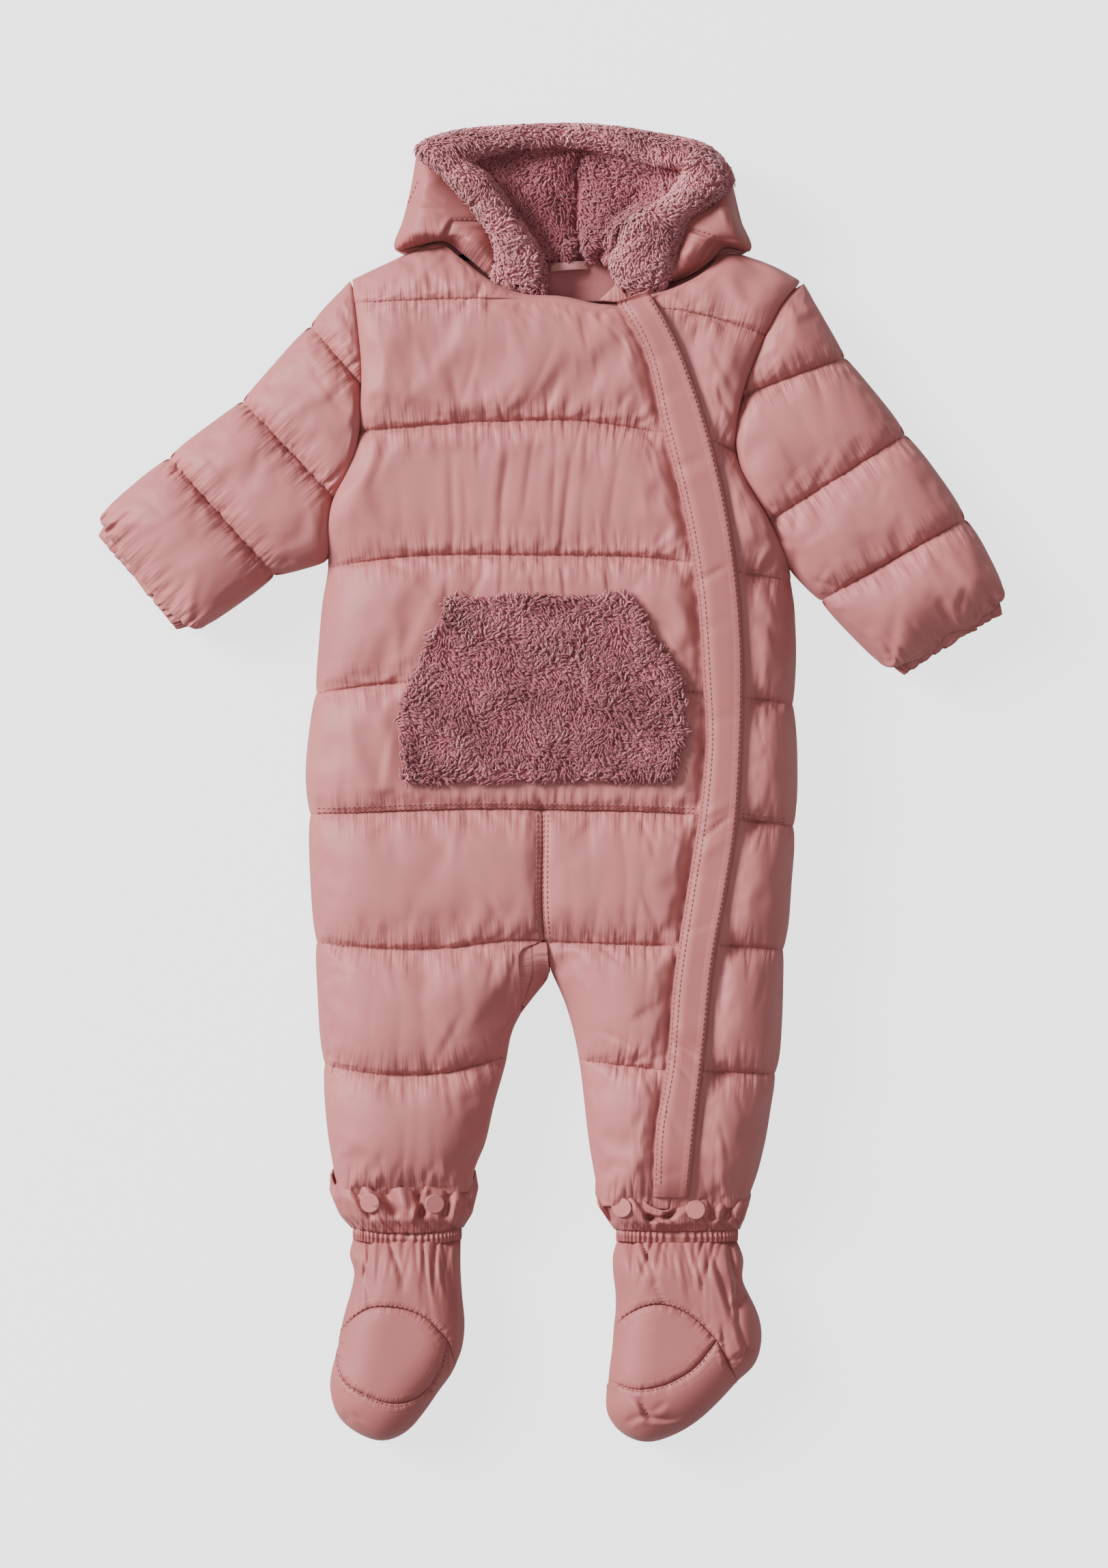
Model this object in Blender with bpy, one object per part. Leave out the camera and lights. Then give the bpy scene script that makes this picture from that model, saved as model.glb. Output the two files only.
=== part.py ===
"""A baby's quilted snowsuit with a hood and booties, laid flat on its back.

Each cut piece is one solid. The front pieces have a plain inner face on the plane where front
and back meet, and stand up in quilted channels over it. The back pieces lie under them and rest
flat. Tables are in millimetres: +X to the right, +Y towards the hood, +Z up.
"""

import math

import bmesh
import bpy
import numpy as np
from mathutils import Vector
from mathutils.bvhtree import BVHTree

MM = 0.001

# ---- driving sizes, in millimetres
SPLIT = 24.0  # height of the plane where front and back meet
SEAM_GAP = 0.4  # clear space between two pieces that are sewn to each other
CLOTH = 2.0  # what is left of a padded wall where it is stitched down
FRONT_RISE = 30.0  # how far the padded front stands up over its stitched edge
ROUND_REACH = 46.0  # how far in from the outline the front is still rounding up
QUILT_DROP = 11.0  # how deep a quilting line sinks below the puffs beside it
SEAM_DROP = 9.0  # how deep a joining seam sinks
SEAM_REACH = 15.0  # how far from a joining seam its valley reaches
SCALLOP = 1.6  # how far a quilting line pulls the side outline in
GATHER = 0.8  # half the height of the gathers along a quilting line
BACK_TUCK = 14.0  # how far the back's flat underside lies in from the outline
FLAP_THICK = 2.4
PILE_THICK = 9.0
FOOT_SPLIT = 17.0  # height of the plane where a bootie's upper meets its sole
FOOT_RISE = 25.0
FOOT_REACH = 27.0
BOOT_TUCK = 10.0

SHELL = (0.50, 0.25, 0.26, 1)
SHERPA = (0.45, 0.20, 0.22, 1)
FLEECE = (0.42, 0.19, 0.21, 1)
TAPE = (0.60, 0.36, 0.36, 1)

# ---- lines of the body, each a short table of (x, y)
NECK_AND_SHOULDERS = [
    (-124, 310), (-105, 319), (-84, 328), (-67, 331), (-55, 322), (-37, 308), (-20, 301),
    (5, 299), (38, 294), (50, 297), (60, 300), (76, 305), (95, 316), (105, 326), (122, 324),
    (138, 318), (157, 307),
]
YOKE_LINE = [(-124, 295), (-90, 296), (-38, 297), (0, 296), (40, 290), (68, 291), (100, 285), (131, 275)]
CHEST_LINE = [(-119, 216), (-38, 222), (22, 222), (66, 215), (98, 210), (117, 202)]
BELLY_LINE = [(-139, 133), (-90, 139), (-10, 140), (82, 136), (113, 130), (146, 125)]
POCKET_LINE = [(-145, 56), (-105, 61), (0, 62), (79, 57), (116, 53), (150, 49)]
WAIST_LINE = [(-152, -19), (-31, -15.5), (0, -16), (87, -19), (116, -22), (150, -26)]
THIGH_LINE = [
    (-147, -97), (-106, -101), (-70, -101), (-20, -96), (3, -97), (80, -99), (101, -99), (145, -102),
]
KNEE_LINE = [
    (-142, -172), (-106, -178), (-65, -177), (-28, -168), (19, -170), (68, -175), (90, -176), (138, -178),
]
HEM_LINE = [(-135, -246), (-90, -248), (-50, -246), (-20, -247), (30, -252), (80, -254), (125, -252)]
BODY_LINES = (NECK_AND_SHOULDERS, YOKE_LINE, CHEST_LINE, BELLY_LINE, POCKET_LINE, WAIST_LINE,
              THIGH_LINE, KNEE_LINE, HEM_LINE)
WAIST = BODY_LINES.index(WAIST_LINE)
HEM = len(BODY_LINES) - 1

# ---- edges of the body, each a short table of (y, x)
LEFT_EDGE = [
    (311, -123), (242, -117), (194, -124), (175, -134), (137, -138), (117, -141), (79, -144.5),
    (41, -149), (3, -152), (-19, -151), (-60, -149), (-97, -147), (-123, -145), (-160, -143),
    (-186, -141), (-217, -138), (-238, -135), (-247, -134),
]
RIGHT_EDGE = [
    (308, 152), (299, 144), (275, 131.5), (247, 119), (192, 116), (161, 133), (132, 146),
    (92, 150), (54, 150), (16, 151), (-9, 151), (-34, 150), (-60, 147.5), (-85, 146),
    (-114, 143), (-148, 141.5), (-173, 140), (-198, 135), (-223, 130.5), (-243, 125), (-253, 120),
]
ARMPIT_LEFT_Y = 137
ARMPIT_RIGHT_Y = 132
CENTRE_SEAM = [(-16, -6), (-99, -4.5), (-118, -1.5)]
CROTCH_Y = -118
INSEAM_LEFT = [
    (-99, -4.5), (-118, -2), (-127, -8), (-137, -16.5), (-148, -23), (-173, -29), (-198, -36),
    (-223, -42), (-238, -48.5), (-247, -50),
]
GUSSET_SEAM = [(-96, -5), (-101.5, -19.5), (-118, -20), (-137, -19.5), (-148, -23)]
GUSSET_END_Y = -137
INSEAM_RIGHT = [
    (-99, -4), (-118, 0.5), (-123, 3), (-135, 8), (-148, 12), (-173, 17), (-198, 20),
    (-223, 23), (-243, 27), (-253, 30),
]
FLAP_STITCH = [
    (296, 38), (271, 52.5), (219, 66.5), (169, 79), (119, 87.5), (63, 91.5), (31, 93),
    (-15, 89.5), (-64, 82), (-121, 73.5), (-174, 69), (-209, 63), (-253, 61),
]
FLAP_FREE = [
    (301, 59), (275, 74), (244, 86.5), (191, 102), (141, 111.5), (88, 116.5), (62, 117),
    (21, 116), (-25, 113), (-64, 107), (-101, 100), (-164, 93), (-202, 88.5), (-253, 83.5),
]

# ---- sleeves: a row for each quilting line, its outer end and its end at the armhole or underarm
SLEEVE_ROWS = ("line", "outer_x", "outer_y", "inner_x", "inner_y")
SLEEVE_LEFT = [
    (0, -124.4, 309.8, -123, 304), (1, -150, 283, -117, 244), (2, -192, 237, -134, 175),
    (3, -237, 202, -170, 127), (4, -281, 165, -220, 92),
]
SLEEVE_RIGHT = [
    (0, 155, 308, 148.5, 303.5), (1, 182, 263, 119, 238), (2, 219, 216, 133, 161),
    (3, 256, 164, 164, 112), (4, 281.5, 116, 206, 69),
]
SLEEVE_ARMPIT = 2.4  # on the same count of lines, where the armhole ends

POCKET_LEFT = [(114, -63), (80, -79), (44, -94.5), (20, -93), (1, -91)]
POCKET_RIGHT = [(116, 46.6), (90, 63), (57, 80), (25, 79), (3, 73)]

# ---- hood: a row for each station along the edge band, from its left end round to its right end
BAND_ROWS = ("inner_x", "inner_y", "outer_x", "outer_y", "crown")
HOOD_BAND = [
    (-4, 303, -37, 309.5, 52), (-6, 322, -35, 321, 56), (-17, 341, -39, 337, 59),
    (-26, 355, -50, 353, 61), (-38, 371, -68, 373, 61), (-47, 381, -83, 389, 59),
    (-30, 388, -62, 400, 55), (-2, 391.5, -20, 404, 50), (22, 391, 22, 404.5, 49),
    (40, 387, 62, 399.5, 51), (58, 381, 96, 391, 56), (79, 376, 110, 372, 61),
    (71, 361, 100, 357, 63), (53, 350, 84, 347, 62), (41, 340, 79, 332, 59),
    (36, 320, 72, 312, 56), (40, 309, 69, 305.5, 54),
]
HOOD_SIDE_LEFT = [
    (-84, 384), (-87, 366), (-92, 346), (-97, 329), (-82, 331), (-67, 333.5), (-54, 325), (-38, 311),
]
HOOD_SIDE_RIGHT = [(111, 367), (115, 349), (122, 328), (105, 329.5), (97, 321), (84, 312.5), (70, 307)]
HOOD_CREASE = [(17, 323), (14, 350), (16, 378), (17, 391)]
NECK_SEAM_Y = 322
NECK_DROP = 11.0  # how far the front sinks towards the neckline

# ---- booties. mouth, elastic: middle x, y and half width. The rest are lines of (x, y)
BOOTIES = {
    "left": {
        "mouth": (-92, -247, 44.5), "elastic": (-89.5, -276.5, 33.5),
        "left_side": [(-123, -280.8), (-125, -290), (-122, -300), (-124, -312), (-128, -326),
                      (-131.5, -341)],
        "right_side": [(-56.5, -280.8), (-56.5, -300), (-55.5, -316), (-54, -334), (-56, -349),
                       (-59.5, -358)],
        "arch": [(-131.5, -341), (-126, -332), (-113, -322), (-97, -321), (-77, -328), (-64, -342)],
        "side_seam": [(-64, -342), (-59.5, -358)],
        "toe_seam": [(-132, -346), (-129, -365), (-113, -375.5), (-96, -380.5), (-81, -376), (-70, -362),
                     (-64, -342)],
        "outline": [(-133, -349), (-137, -372), (-131, -391), (-118, -401), (-105, -405), (-91, -400),
                    (-79, -387), (-70, -374), (-62, -363), (-59.5, -358)],
        "snaps": [(-112, -257), (-72, -257.5)],
    },
    "right": {
        "mouth": (74, -252.5, 47), "elastic": (77, -277.5, 37.5),
        "left_side": [(40, -281.8), (37.5, -290), (37.5, -301), (39, -314), (39, -325), (38, -334)],
        "right_side": [(114, -281.8), (118, -293), (117, -305), (122, -316), (127.5, -328), (129, -343),
                       (125, -357), (114, -368)],
        "arch": [(38, -334), (45, -327), (63, -319), (82, -324), (101, -341)],
        "side_seam": [(101, -341), (114, -368)],
        "toe_seam": [(35.5, -367), (52, -371.5), (69, -368.5), (86, -359), (101, -341)],
        "outline": [(33.5, -371), (34, -388), (43, -400), (57, -405.5), (75, -401), (90, -392), (102, -381),
                    (114, -368)],
        "snaps": [(42.5, -260), (88, -261)],
    },
}
ELASTIC_HALF = 3.8
SNAP_RADIUS = 6.0
SNAP_THICK = 1.6


# ---- curves
def through(points):
    """A smooth function through (at, value) points, level beyond its ends."""
    at, value = np.array(sorted(points), float).T
    slope = np.gradient(value, at)

    def curve(q):
        q = np.asarray(q, float)
        i = np.clip(np.searchsorted(at, q) - 1, 0, len(at) - 2)
        step = at[i + 1] - at[i]
        t = np.clip((q - at[i]) / step, 0, 1)
        return (
            value[i] * (1 + 2 * t) * (1 - t) ** 2
            + slope[i] * step * t * (1 - t) ** 2
            + value[i + 1] * t**2 * (3 - 2 * t)
            - slope[i + 1] * step * t**2 * (1 - t)
        )

    return curve


def path(points, count):
    """Points spaced evenly along a smooth line through the given ones."""
    points = np.array(points, float)
    run = np.concatenate([[0], np.cumsum(np.linalg.norm(np.diff(points, axis=0), axis=1))])
    axes = [through(list(zip(run, column))) for column in points.T]
    fine = np.stack([axis(np.linspace(0, run[-1], 12 * count)) for axis in axes], axis=1)
    along = np.concatenate([[0], np.cumsum(np.linalg.norm(np.diff(fine, axis=0), axis=1))])
    at = np.linspace(0, along[-1], count)
    return np.stack([np.interp(at, along, column) for column in fine.T], axis=1)


def distance(points, line):
    """How far each point is, seen from above, from an open line of points."""
    points = np.asarray(points, float)[..., None, :2]
    a, b = np.array(line, float)[:-1, :2], np.array(line, float)[1:, :2]
    run = b - a
    t = np.clip(((points - a) * run).sum(-1) / np.maximum((run**2).sum(-1), 1e-9), 0, 1)
    return np.linalg.norm(points - a - t[..., None] * run, axis=-1).min(-1)


def round_over(share):
    """The height of a quarter round, from 0 at share 0 to 1 at share 1 and beyond."""
    share = np.clip(share, 0, 1)
    return np.sqrt(1 - (1 - share) ** 2)


# ---- solids
def add_solid(name, colour, points, faces, roughness=0.55):
    mesh = bpy.data.meshes.new(name)
    mesh.from_pydata([tuple(float(c) * MM for c in p) for p in points], [], faces)
    shape = bmesh.new()
    shape.from_mesh(mesh)
    bmesh.ops.remove_doubles(shape, verts=shape.verts, dist=1e-6)
    bmesh.ops.recalc_face_normals(shape, faces=shape.faces)
    shape.to_mesh(mesh)
    shape.free()
    cloth = bpy.data.materials.new(name + "_cloth")
    cloth.use_nodes = True
    finish = cloth.node_tree.nodes["Principled BSDF"].inputs
    finish["Base Color"].default_value = colour
    finish["Roughness"].default_value = roughness
    mesh.materials.append(cloth)
    piece = bpy.data.objects.new(name, mesh)
    SUIT.objects.link(piece)
    return piece


def sheet_faces(rows, columns, start=0, turned=False):
    """The triangles of a grid of points, with the same diagonals on a wall's two sides."""
    faces = []
    for r in range(rows - 1):
        for c in range(columns - 1):
            a = start + r * columns + c
            b, d, e = a + 1, a + columns, a + columns + 1
            faces += [(a, b, e), (a, e, d)]
    return [f[::-1] for f in faces] if turned else faces


def rim(rows, columns):
    """The grid's border points in order round it."""
    return (
        list(range(columns))
        + [r * columns + columns - 1 for r in range(1, rows)]
        + [(rows - 1) * columns + c for c in range(columns - 2, -1, -1)]
        + [r * columns for r in range(rows - 2, 0, -1)]
    )


def padded_wall(name, colour, top, floor):
    """A wall with a shaped outer side and a plain inner face at one height."""
    rows, columns = top.shape[:2]
    points = [tuple(p) for p in top.reshape(-1, 3)]
    border, under = rim(rows, columns), len(points)
    points += [(points[i][0], points[i][1], floor) for i in border]
    count = len(border)
    faces = sheet_faces(rows, columns)
    for i in range(count):
        j = (i + 1) % count
        faces.append((border[i], under + i, under + j, border[j]))
    faces.append(tuple(range(under, under + count)))
    return add_solid(name, colour, points, faces)


def layer(name, colour, bottom, top):
    """A wall between two grids of points."""
    rows, columns = top.shape[:2]
    count = rows * columns
    points = [tuple(p) for p in top.reshape(-1, 3)] + [tuple(p) for p in bottom.reshape(-1, 3)]
    faces = sheet_faces(rows, columns) + sheet_faces(rows, columns, count, turned=True)
    border = rim(rows, columns)
    for i, a in enumerate(border):
        b = border[(i + 1) % len(border)]
        faces.append((a, a + count, b + count))
        faces.append((a, b + count, b))
    return add_solid(name, colour, points, faces)


def patch(top, bottom, left, right):
    """The points inside four lines of points: top and bottom run to the right, left and right run
    down, and they share their ends."""
    top, bottom, left, right = (np.array(side, float) for side in (top, bottom, left, right))

    def shares(line):
        run = np.concatenate([[0], np.cumsum(np.linalg.norm(np.diff(line, axis=0), axis=1))])
        return run / run[-1]

    u, v = shares(bottom)[None, :, None], shares(left)[:, None, None]
    corners = (1 - u) * ((1 - v) * top[0] + v * bottom[0]) + u * ((1 - v) * top[-1] + v * bottom[-1])
    return (1 - v) * top[None] + v * bottom[None] + (1 - u) * left[:, None] + u * right[:, None] - corners


def offset_line(points, away):
    """A line moved sideways, to its left where away is positive."""
    points = np.array(points, float)
    ahead = np.diff(points, axis=0)
    ahead /= np.linalg.norm(ahead, axis=1)[:, None]
    normal = np.stack([-ahead[:, 1], ahead[:, 0]], axis=1)
    corner = np.concatenate([normal[:1], normal[:-1] + normal[1:], normal[-1:]])
    corner /= np.linalg.norm(corner, axis=1)[:, None]
    return points + away * corner


BACK_LEVELS = ((1.0, 0.0), (0.58, 0.05), (0.27, 0.26), (0.08, 0.60), (0.0, 1.0))


def back_wall(name, colour, border, top, tuck=BACK_TUCK):
    """A back piece inside a border of (x, y, roundness): plain on top, flat below, and rounded
    under by the tuck where the border is free."""
    border = np.array(border, float)
    keep = np.linalg.norm(border[:, :2] - np.roll(border[:, :2], 1, axis=0), axis=1) > 0.3
    border = border[keep]
    flat = border[:, :2]
    ahead = np.roll(flat, -1, axis=0) - flat
    length = np.linalg.norm(ahead, axis=1)
    ahead /= length[:, None]
    free = (border[:, 2] > 0) & (np.roll(border[:, 2], -1) > 0)
    unit = ahead * (free + 1e-6)[:, None]
    unit = unit + np.roll(unit, 1, axis=0)
    unit /= np.linalg.norm(unit, axis=1)[:, None]
    area = (flat[:, 0] * np.roll(flat[:, 1], -1) - flat[:, 1] * np.roll(flat[:, 0], -1)).sum()
    turn = 1 if area > 0 else -1
    inward = turn * np.stack([-unit[:, 1], unit[:, 0]], axis=1)
    # where a seam meets a free side, the corner slides along the seam
    for i in np.flatnonzero((free != np.roll(free, 1)) & (border[:, 2] > 0)):
        along_seam, room = (-ahead[i - 1], length[i - 1]) if free[i] else (ahead[i], length[i])
        steep = float(along_seam @ inward[i])
        if steep > 0.6:
            inward[i] = along_seam * min(1 / steep, 0.6 * room / (tuck * border[i, 2]))
    count, points, faces = len(flat), [], []
    for height, inset in BACK_LEVELS:
        level = flat + inward * (inset * tuck * border[:, 2])[:, None]
        points += [(x, y, height * top) for x, y in level]
    for level in range(len(BACK_LEVELS) - 1):
        for i in range(count):
            j = (i + 1) % count
            a, b = level * count + i, level * count + j
            faces += [(a, a + count, b + count), (a, b + count, b)]
    faces.append(tuple(range(count)))
    faces.append(tuple(range(len(points) - count, len(points))))
    return add_solid(name, colour, points, faces)


def tube(name, colour, outer, inner):
    """A cloth tube open at both ends, from its outer and inner rings."""
    stations, around = outer.shape[:2]
    count = stations * around
    points = [tuple(p) for p in outer.reshape(-1, 3)] + [tuple(p) for p in inner.reshape(-1, 3)]
    faces = []
    for s in range(stations - 1):
        for i in range(around):
            j = (i + 1) % around
            a, b = s * around + i, s * around + j
            faces += [(a, b, b + around), (a, b + around, a + around)]
            c, d = count + a, count + b
            faces += [(c, d + around, d), (c, c + around, d + around)]
    for start in (0, (stations - 1) * around):
        for i in range(around):
            j = (i + 1) % around
            a, b = start + i, start + j
            faces += [(a, b, count + b), (a, count + b, count + a)]
    return add_solid(name, colour, points, faces)


# ---- the scene starts empty
for old in list(bpy.data.objects):
    bpy.data.objects.remove(old, do_unlink=True)
SUIT = bpy.data.collections.new("baby_snowsuit")
bpy.context.scene.collection.children.link(SUIT)

# ---- the body's lines and edges as functions
LINES = [through(line) for line in BODY_LINES]
stitch_x, free_x = through(FLAP_STITCH), through(FLAP_FREE)
centre_x = through(CENTRE_SEAM)
inseam_left_x, inseam_right_x = through(INSEAM_LEFT), through(INSEAM_RIGHT)
left_base_x, right_base_x = through(LEFT_EDGE), through(RIGHT_EDGE)


def channel(x, y):
    """How far down its quilted channel each point is, from 0 to 1, and how deep the channel is."""
    x, y = np.broadcast_arrays(np.asarray(x, float), np.asarray(y, float))
    lines = np.stack([line(x) for line in LINES])
    lines[1] = np.minimum(lines[1], lines[0] - 2.5)
    k = np.clip((y[None] < lines).sum(0) - 1, 0, HEM - 1)
    upper = np.take_along_axis(lines, k[None], 0)[0]
    lower = np.take_along_axis(lines, k[None] + 1, 0)[0]
    return np.clip((upper - y) / (upper - lower), 0, 1), upper - lower


def puff(share):
    """The outer shape across a quilted channel, from 0 at its two lines to 1 between them."""
    return (1 - np.abs(2 * share - 1) ** 2.4) ** 0.6


def scalloped(base, armpit):
    """An edge that each quilting line pulls in a little below the armpit."""

    def edge(y):
        x = base(y)
        share, _ = channel(x, y)
        free = np.clip((armpit - np.asarray(y, float)) / 15, 0, 1)
        return x - np.sign(x) * SCALLOP * free * (1 - puff(share))

    return edge


left_x, right_x = scalloped(left_base_x, ARMPIT_LEFT_Y), scalloped(right_base_x, ARMPIT_RIGHT_Y)


def zip_x(y):
    return (stitch_x(y) + free_x(y)) / 2


def sleeve_ends(table, body_edge, side):
    """Outer and inner end of a sleeve's section at any count of lines."""
    columns = {name: [row[i] for row in table] for i, name in enumerate(SLEEVE_ROWS)}
    lines = columns["line"]
    ends = {name: through(list(zip(lines, columns[name]))) for name in SLEEVE_ROWS[1:]}
    pit_y = ARMPIT_LEFT_Y if side < 0 else ARMPIT_RIGHT_Y

    def at(line):
        share = puff(np.clip(line % 1.0, 0, 1))
        outer = np.array([ends["outer_x"](line), ends["outer_y"](line)])
        inner = np.array([ends["inner_x"](line), ends["inner_y"](line)])
        if line <= SLEEVE_ARMPIT:
            armhole_y = through([(row[0], row[4]) for row in table[:3]] + [(SLEEVE_ARMPIT, pit_y)])
            y = float(armhole_y(line))
            inner = np.array([float(body_edge(y)) + side * SEAM_GAP / 2, y])
        else:
            last = np.array(table[4][3:5], float)
            start = np.array([float(body_edge(pit_y)) + side * SEAM_GAP / 2, float(pit_y)])
            bend = np.array(table[3][3:5], float)
            count = np.array([SLEEVE_ARMPIT, 3, 4])
            inner = np.array([np.interp(line, count, [start[i], bend[i], last[i]]) for i in (0, 1)])
        across = (inner - outer) / np.linalg.norm(inner - outer)
        pull = SCALLOP * (1 - share) if 0.2 < line < 3.9 else 0.0
        outer = outer + across * pull
        if line > SLEEVE_ARMPIT + 0.3:
            inner = inner - across * pull
        return outer, inner

    return at


left_sleeve = sleeve_ends(SLEEVE_LEFT, left_x, -1)
right_sleeve = sleeve_ends(SLEEVE_RIGHT, right_x, 1)


def beyond(a, b, reach, towards):
    """A line a to b moved out, which an edge that is drawn in rounds towards."""
    a, b = np.array(a, float), np.array(b, float)
    out = np.array(towards, float)
    out /= np.linalg.norm(out)
    return [tuple(a + out * reach), tuple(b + out * reach)]


# ---- the free outline, from the left of the neck round to its right
SLEEVE_STEPS = np.linspace(0, 4, 33)
CUFF_REACH = 4.0
HEM_REACH = 6.0
down = np.linspace(ARMPIT_LEFT_Y, -247, 40)
left_top, left_under = zip(*[left_sleeve(s) for s in SLEEVE_STEPS])
right_top, right_under = zip(*[right_sleeve(s) for s in SLEEVE_STEPS])
pit_index = int(np.searchsorted(SLEEVE_STEPS, SLEEVE_ARMPIT))
shoulder_left = [(x, float(LINES[0](x))) for x in (-67, -84, -96, -105, -115)]
shoulder_right = [(x, float(LINES[0](x))) for x in (150, 138, 128, 122, 113, 105)]
leg_down = np.linspace(CROTCH_Y, -247, 14)
OUTLINE = (
    shoulder_left
    + [tuple(p) for p in left_top]
    + beyond(left_top[-1], left_under[-1], CUFF_REACH, (-0.78, -0.62))
    + [tuple(p) for p in left_under[:pit_index:-1]]
    + [(float(left_x(y)), y) for y in down]
    + beyond((-134, -247), (-50, -247), HEM_REACH, (0, -1))
    + [(float(inseam_left_x(y)), y) for y in leg_down[::-1]]
    + [(float(inseam_right_x(y)), y) for y in leg_down]
    + beyond((30, -253), (120, -253), HEM_REACH, (0, -1))
    + [(float(right_x(y)), y) for y in np.linspace(-253, ARMPIT_RIGHT_Y, 40)]
    + [tuple(p) for p in right_under[pit_index + 1 :]]
    + beyond(right_under[-1], right_top[-1], CUFF_REACH, (0.53, -0.85))
    + [tuple(p) for p in right_top[::-1]]
    + shoulder_right
)
NECKLINE = [(x, float(LINES[0](x))) for x in np.linspace(-60, 100, 24)]
ARMHOLE_LEFT = [(float(left_x(y)), y) for y in np.linspace(312, ARMPIT_LEFT_Y, 24)]
ARMHOLE_RIGHT = [(float(right_x(y)), y) for y in np.linspace(308, ARMPIT_RIGHT_Y, 24)]
CENTRE = [(float(centre_x(y)), y) for y in np.linspace(-16, CROTCH_Y, 8)]
POCKET_BORDER = np.concatenate([
    path([(x, y) for y, x in POCKET_LEFT], 12), path([(x, y) for y, x in POCKET_RIGHT[::-1]], 12),
])


def in_pocket(points):
    """1 under the pocket, falling to 0 within a finger's breadth of it."""
    x, y = points[..., 0], points[..., 1]
    left, right = through(POCKET_LEFT)(y), through(POCKET_RIGHT)(y)
    inside = np.minimum.reduce([x - left, right - x, 118 - y, y + 1])
    return np.clip((inside + 8) / 12, 0, 1)


def under_flap(points):
    """1 under the zip flap, falling to 0 beside it."""
    x, y = points[..., 0], points[..., 1]
    inside = np.minimum(x - stitch_x(y), free_x(y) - x)
    return np.clip(1 + inside / 13, 0, 1)


FLAT_SHARE = 0.45  # the puff that is left under the pocket and the zip flap


def body_height(points, share, depth):
    """The outer height of the front over points of the body."""
    rise = round_over(distance(points, OUTLINE) / ROUND_REACH)
    flat = np.maximum(in_pocket(points), under_flap(points))
    shape = puff(share) * (1 - flat) + FLAT_SHARE * flat
    drop = np.minimum(QUILT_DROP, 0.16 * depth) * (1 - shape)
    seams = np.minimum.reduce([distance(points, line) for line in (ARMHOLE_LEFT, ARMHOLE_RIGHT)])
    middle = distance(points, CENTRE)
    drop = drop + SEAM_DROP * (1 - round_over(seams / SEAM_REACH))
    drop = drop + 0.6 * SEAM_DROP * (1 - round_over(middle / SEAM_REACH))
    drop = drop + NECK_DROP * (1 - round_over(distance(points, NECKLINE) / 20))
    return SPLIT + SEAM_GAP + CLOTH + rise * (FRONT_RISE - drop)


def sleeve_height(points, share, depth):
    """The outer height of a sleeve."""
    rise = round_over(distance(points, OUTLINE) / (0.85 * ROUND_REACH))
    drop = np.minimum(QUILT_DROP, 0.16 * depth) * (1 - puff(share))
    seams = np.minimum(distance(points, ARMHOLE_LEFT), distance(points, ARMHOLE_RIGHT))
    drop = drop + 0.8 * SEAM_DROP * (1 - round_over(seams / SEAM_REACH))
    return SPLIT + SEAM_GAP + CLOTH + rise * (0.86 * FRONT_RISE - drop)


# ---- rows down each channel, and columns across a panel
CHANNEL_STEPS = (0, 0.07, 0.21, 0.5, 0.79, 0.93)


def row_counts(first, last):
    """Counts of lines down the body, with rows close together at each line."""
    return [k + s for k in range(first, last) for s in CHANNEL_STEPS] + [last]


def columns_between(count, close_left, close_right):
    """Shares across a panel, even but for extra ones close to a free edge."""
    shares = list(np.linspace(0, 1, count))
    first = shares[1]
    if close_left:
        shares[1:1] = [0.12 * first, 0.42 * first]
    if close_right:
        shares[-1:-1] = [1 - 0.42 * first, 1 - 0.12 * first]
    return np.array(shares)


def body_grid(rows, stretches):
    """Points over part of the body. Each stretch is (left edge, right edge, shares), and the
    rows are counts of quilting lines."""
    grid, shares, depths = [], [], []
    for count in rows:
        k = min(int(count), HEM - 1)
        t = count - k
        line = []
        for left, right, across in stretches:
            for share in across:
                x, y = 0.0, 0.0
                for _ in range(12):
                    upper, lower = float(LINES[k](x)), float(LINES[k + 1](x))
                    if k == 0:
                        lower = min(lower, upper - 2.5)
                    if k == 1:
                        upper = min(upper, float(LINES[0](x)) - 2.5)
                    y = upper + (lower - upper) * t
                    x = float(left(y)) * (1 - share) + float(right(y)) * share
                line.append((x, y, upper - lower))
        grid.append([(x, y) for x, y, _ in line])
        depths.append([d for _, _, d in line])
        shares.append([t] * len(line))
    return np.array(grid), np.array(shares), np.array(depths)


def gathered(z, share, depth, rise_limit, plain=0.0):
    """Small gathers beside the quilting lines: each second column stands up, the next sinks."""
    near = np.minimum(share, 1 - share) * depth
    strength = GATHER * np.exp(-(((near - 7.0) / 5.0) ** 2)) * (1 - plain)
    strength = strength * np.clip((z - rise_limit) / 10, 0, 1)
    sign = np.where(np.arange(z.shape[1]) % 2, 1.0, -1.0)
    strength[:, :2] = 0
    strength[:, -2:] = 0
    return z + sign * strength


def front_panel(name, rows, stretches, ends=(0, 0)):
    """A quilted front panel. ends moves its first and last row in from a seam."""
    flat, share, depth = body_grid(rows, stretches)
    plain = np.clip(2 * np.maximum(in_pocket(flat), under_flap(flat)), 0, 1)
    z = gathered(body_height(flat, share, depth), share, depth, SPLIT + 18, plain)
    flat = flat.copy()
    flat[0, :, 1] -= ends[0]
    flat[-1, :, 1] += ends[1]
    grid = np.concatenate([flat, z[..., None]], axis=2)
    padded_wall(name, SHELL, grid, SPLIT + SEAM_GAP)
    return grid


HALF_GAP = SEAM_GAP / 2


def moved(edge, offset):
    return lambda y: edge(y) + offset


def seamed(edge, armpit, side):
    """A side edge that keeps half a gap from the sleeve above the armpit."""
    return lambda y: edge(y) + side * HALF_GAP * (np.asarray(y) > armpit - 4)


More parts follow.
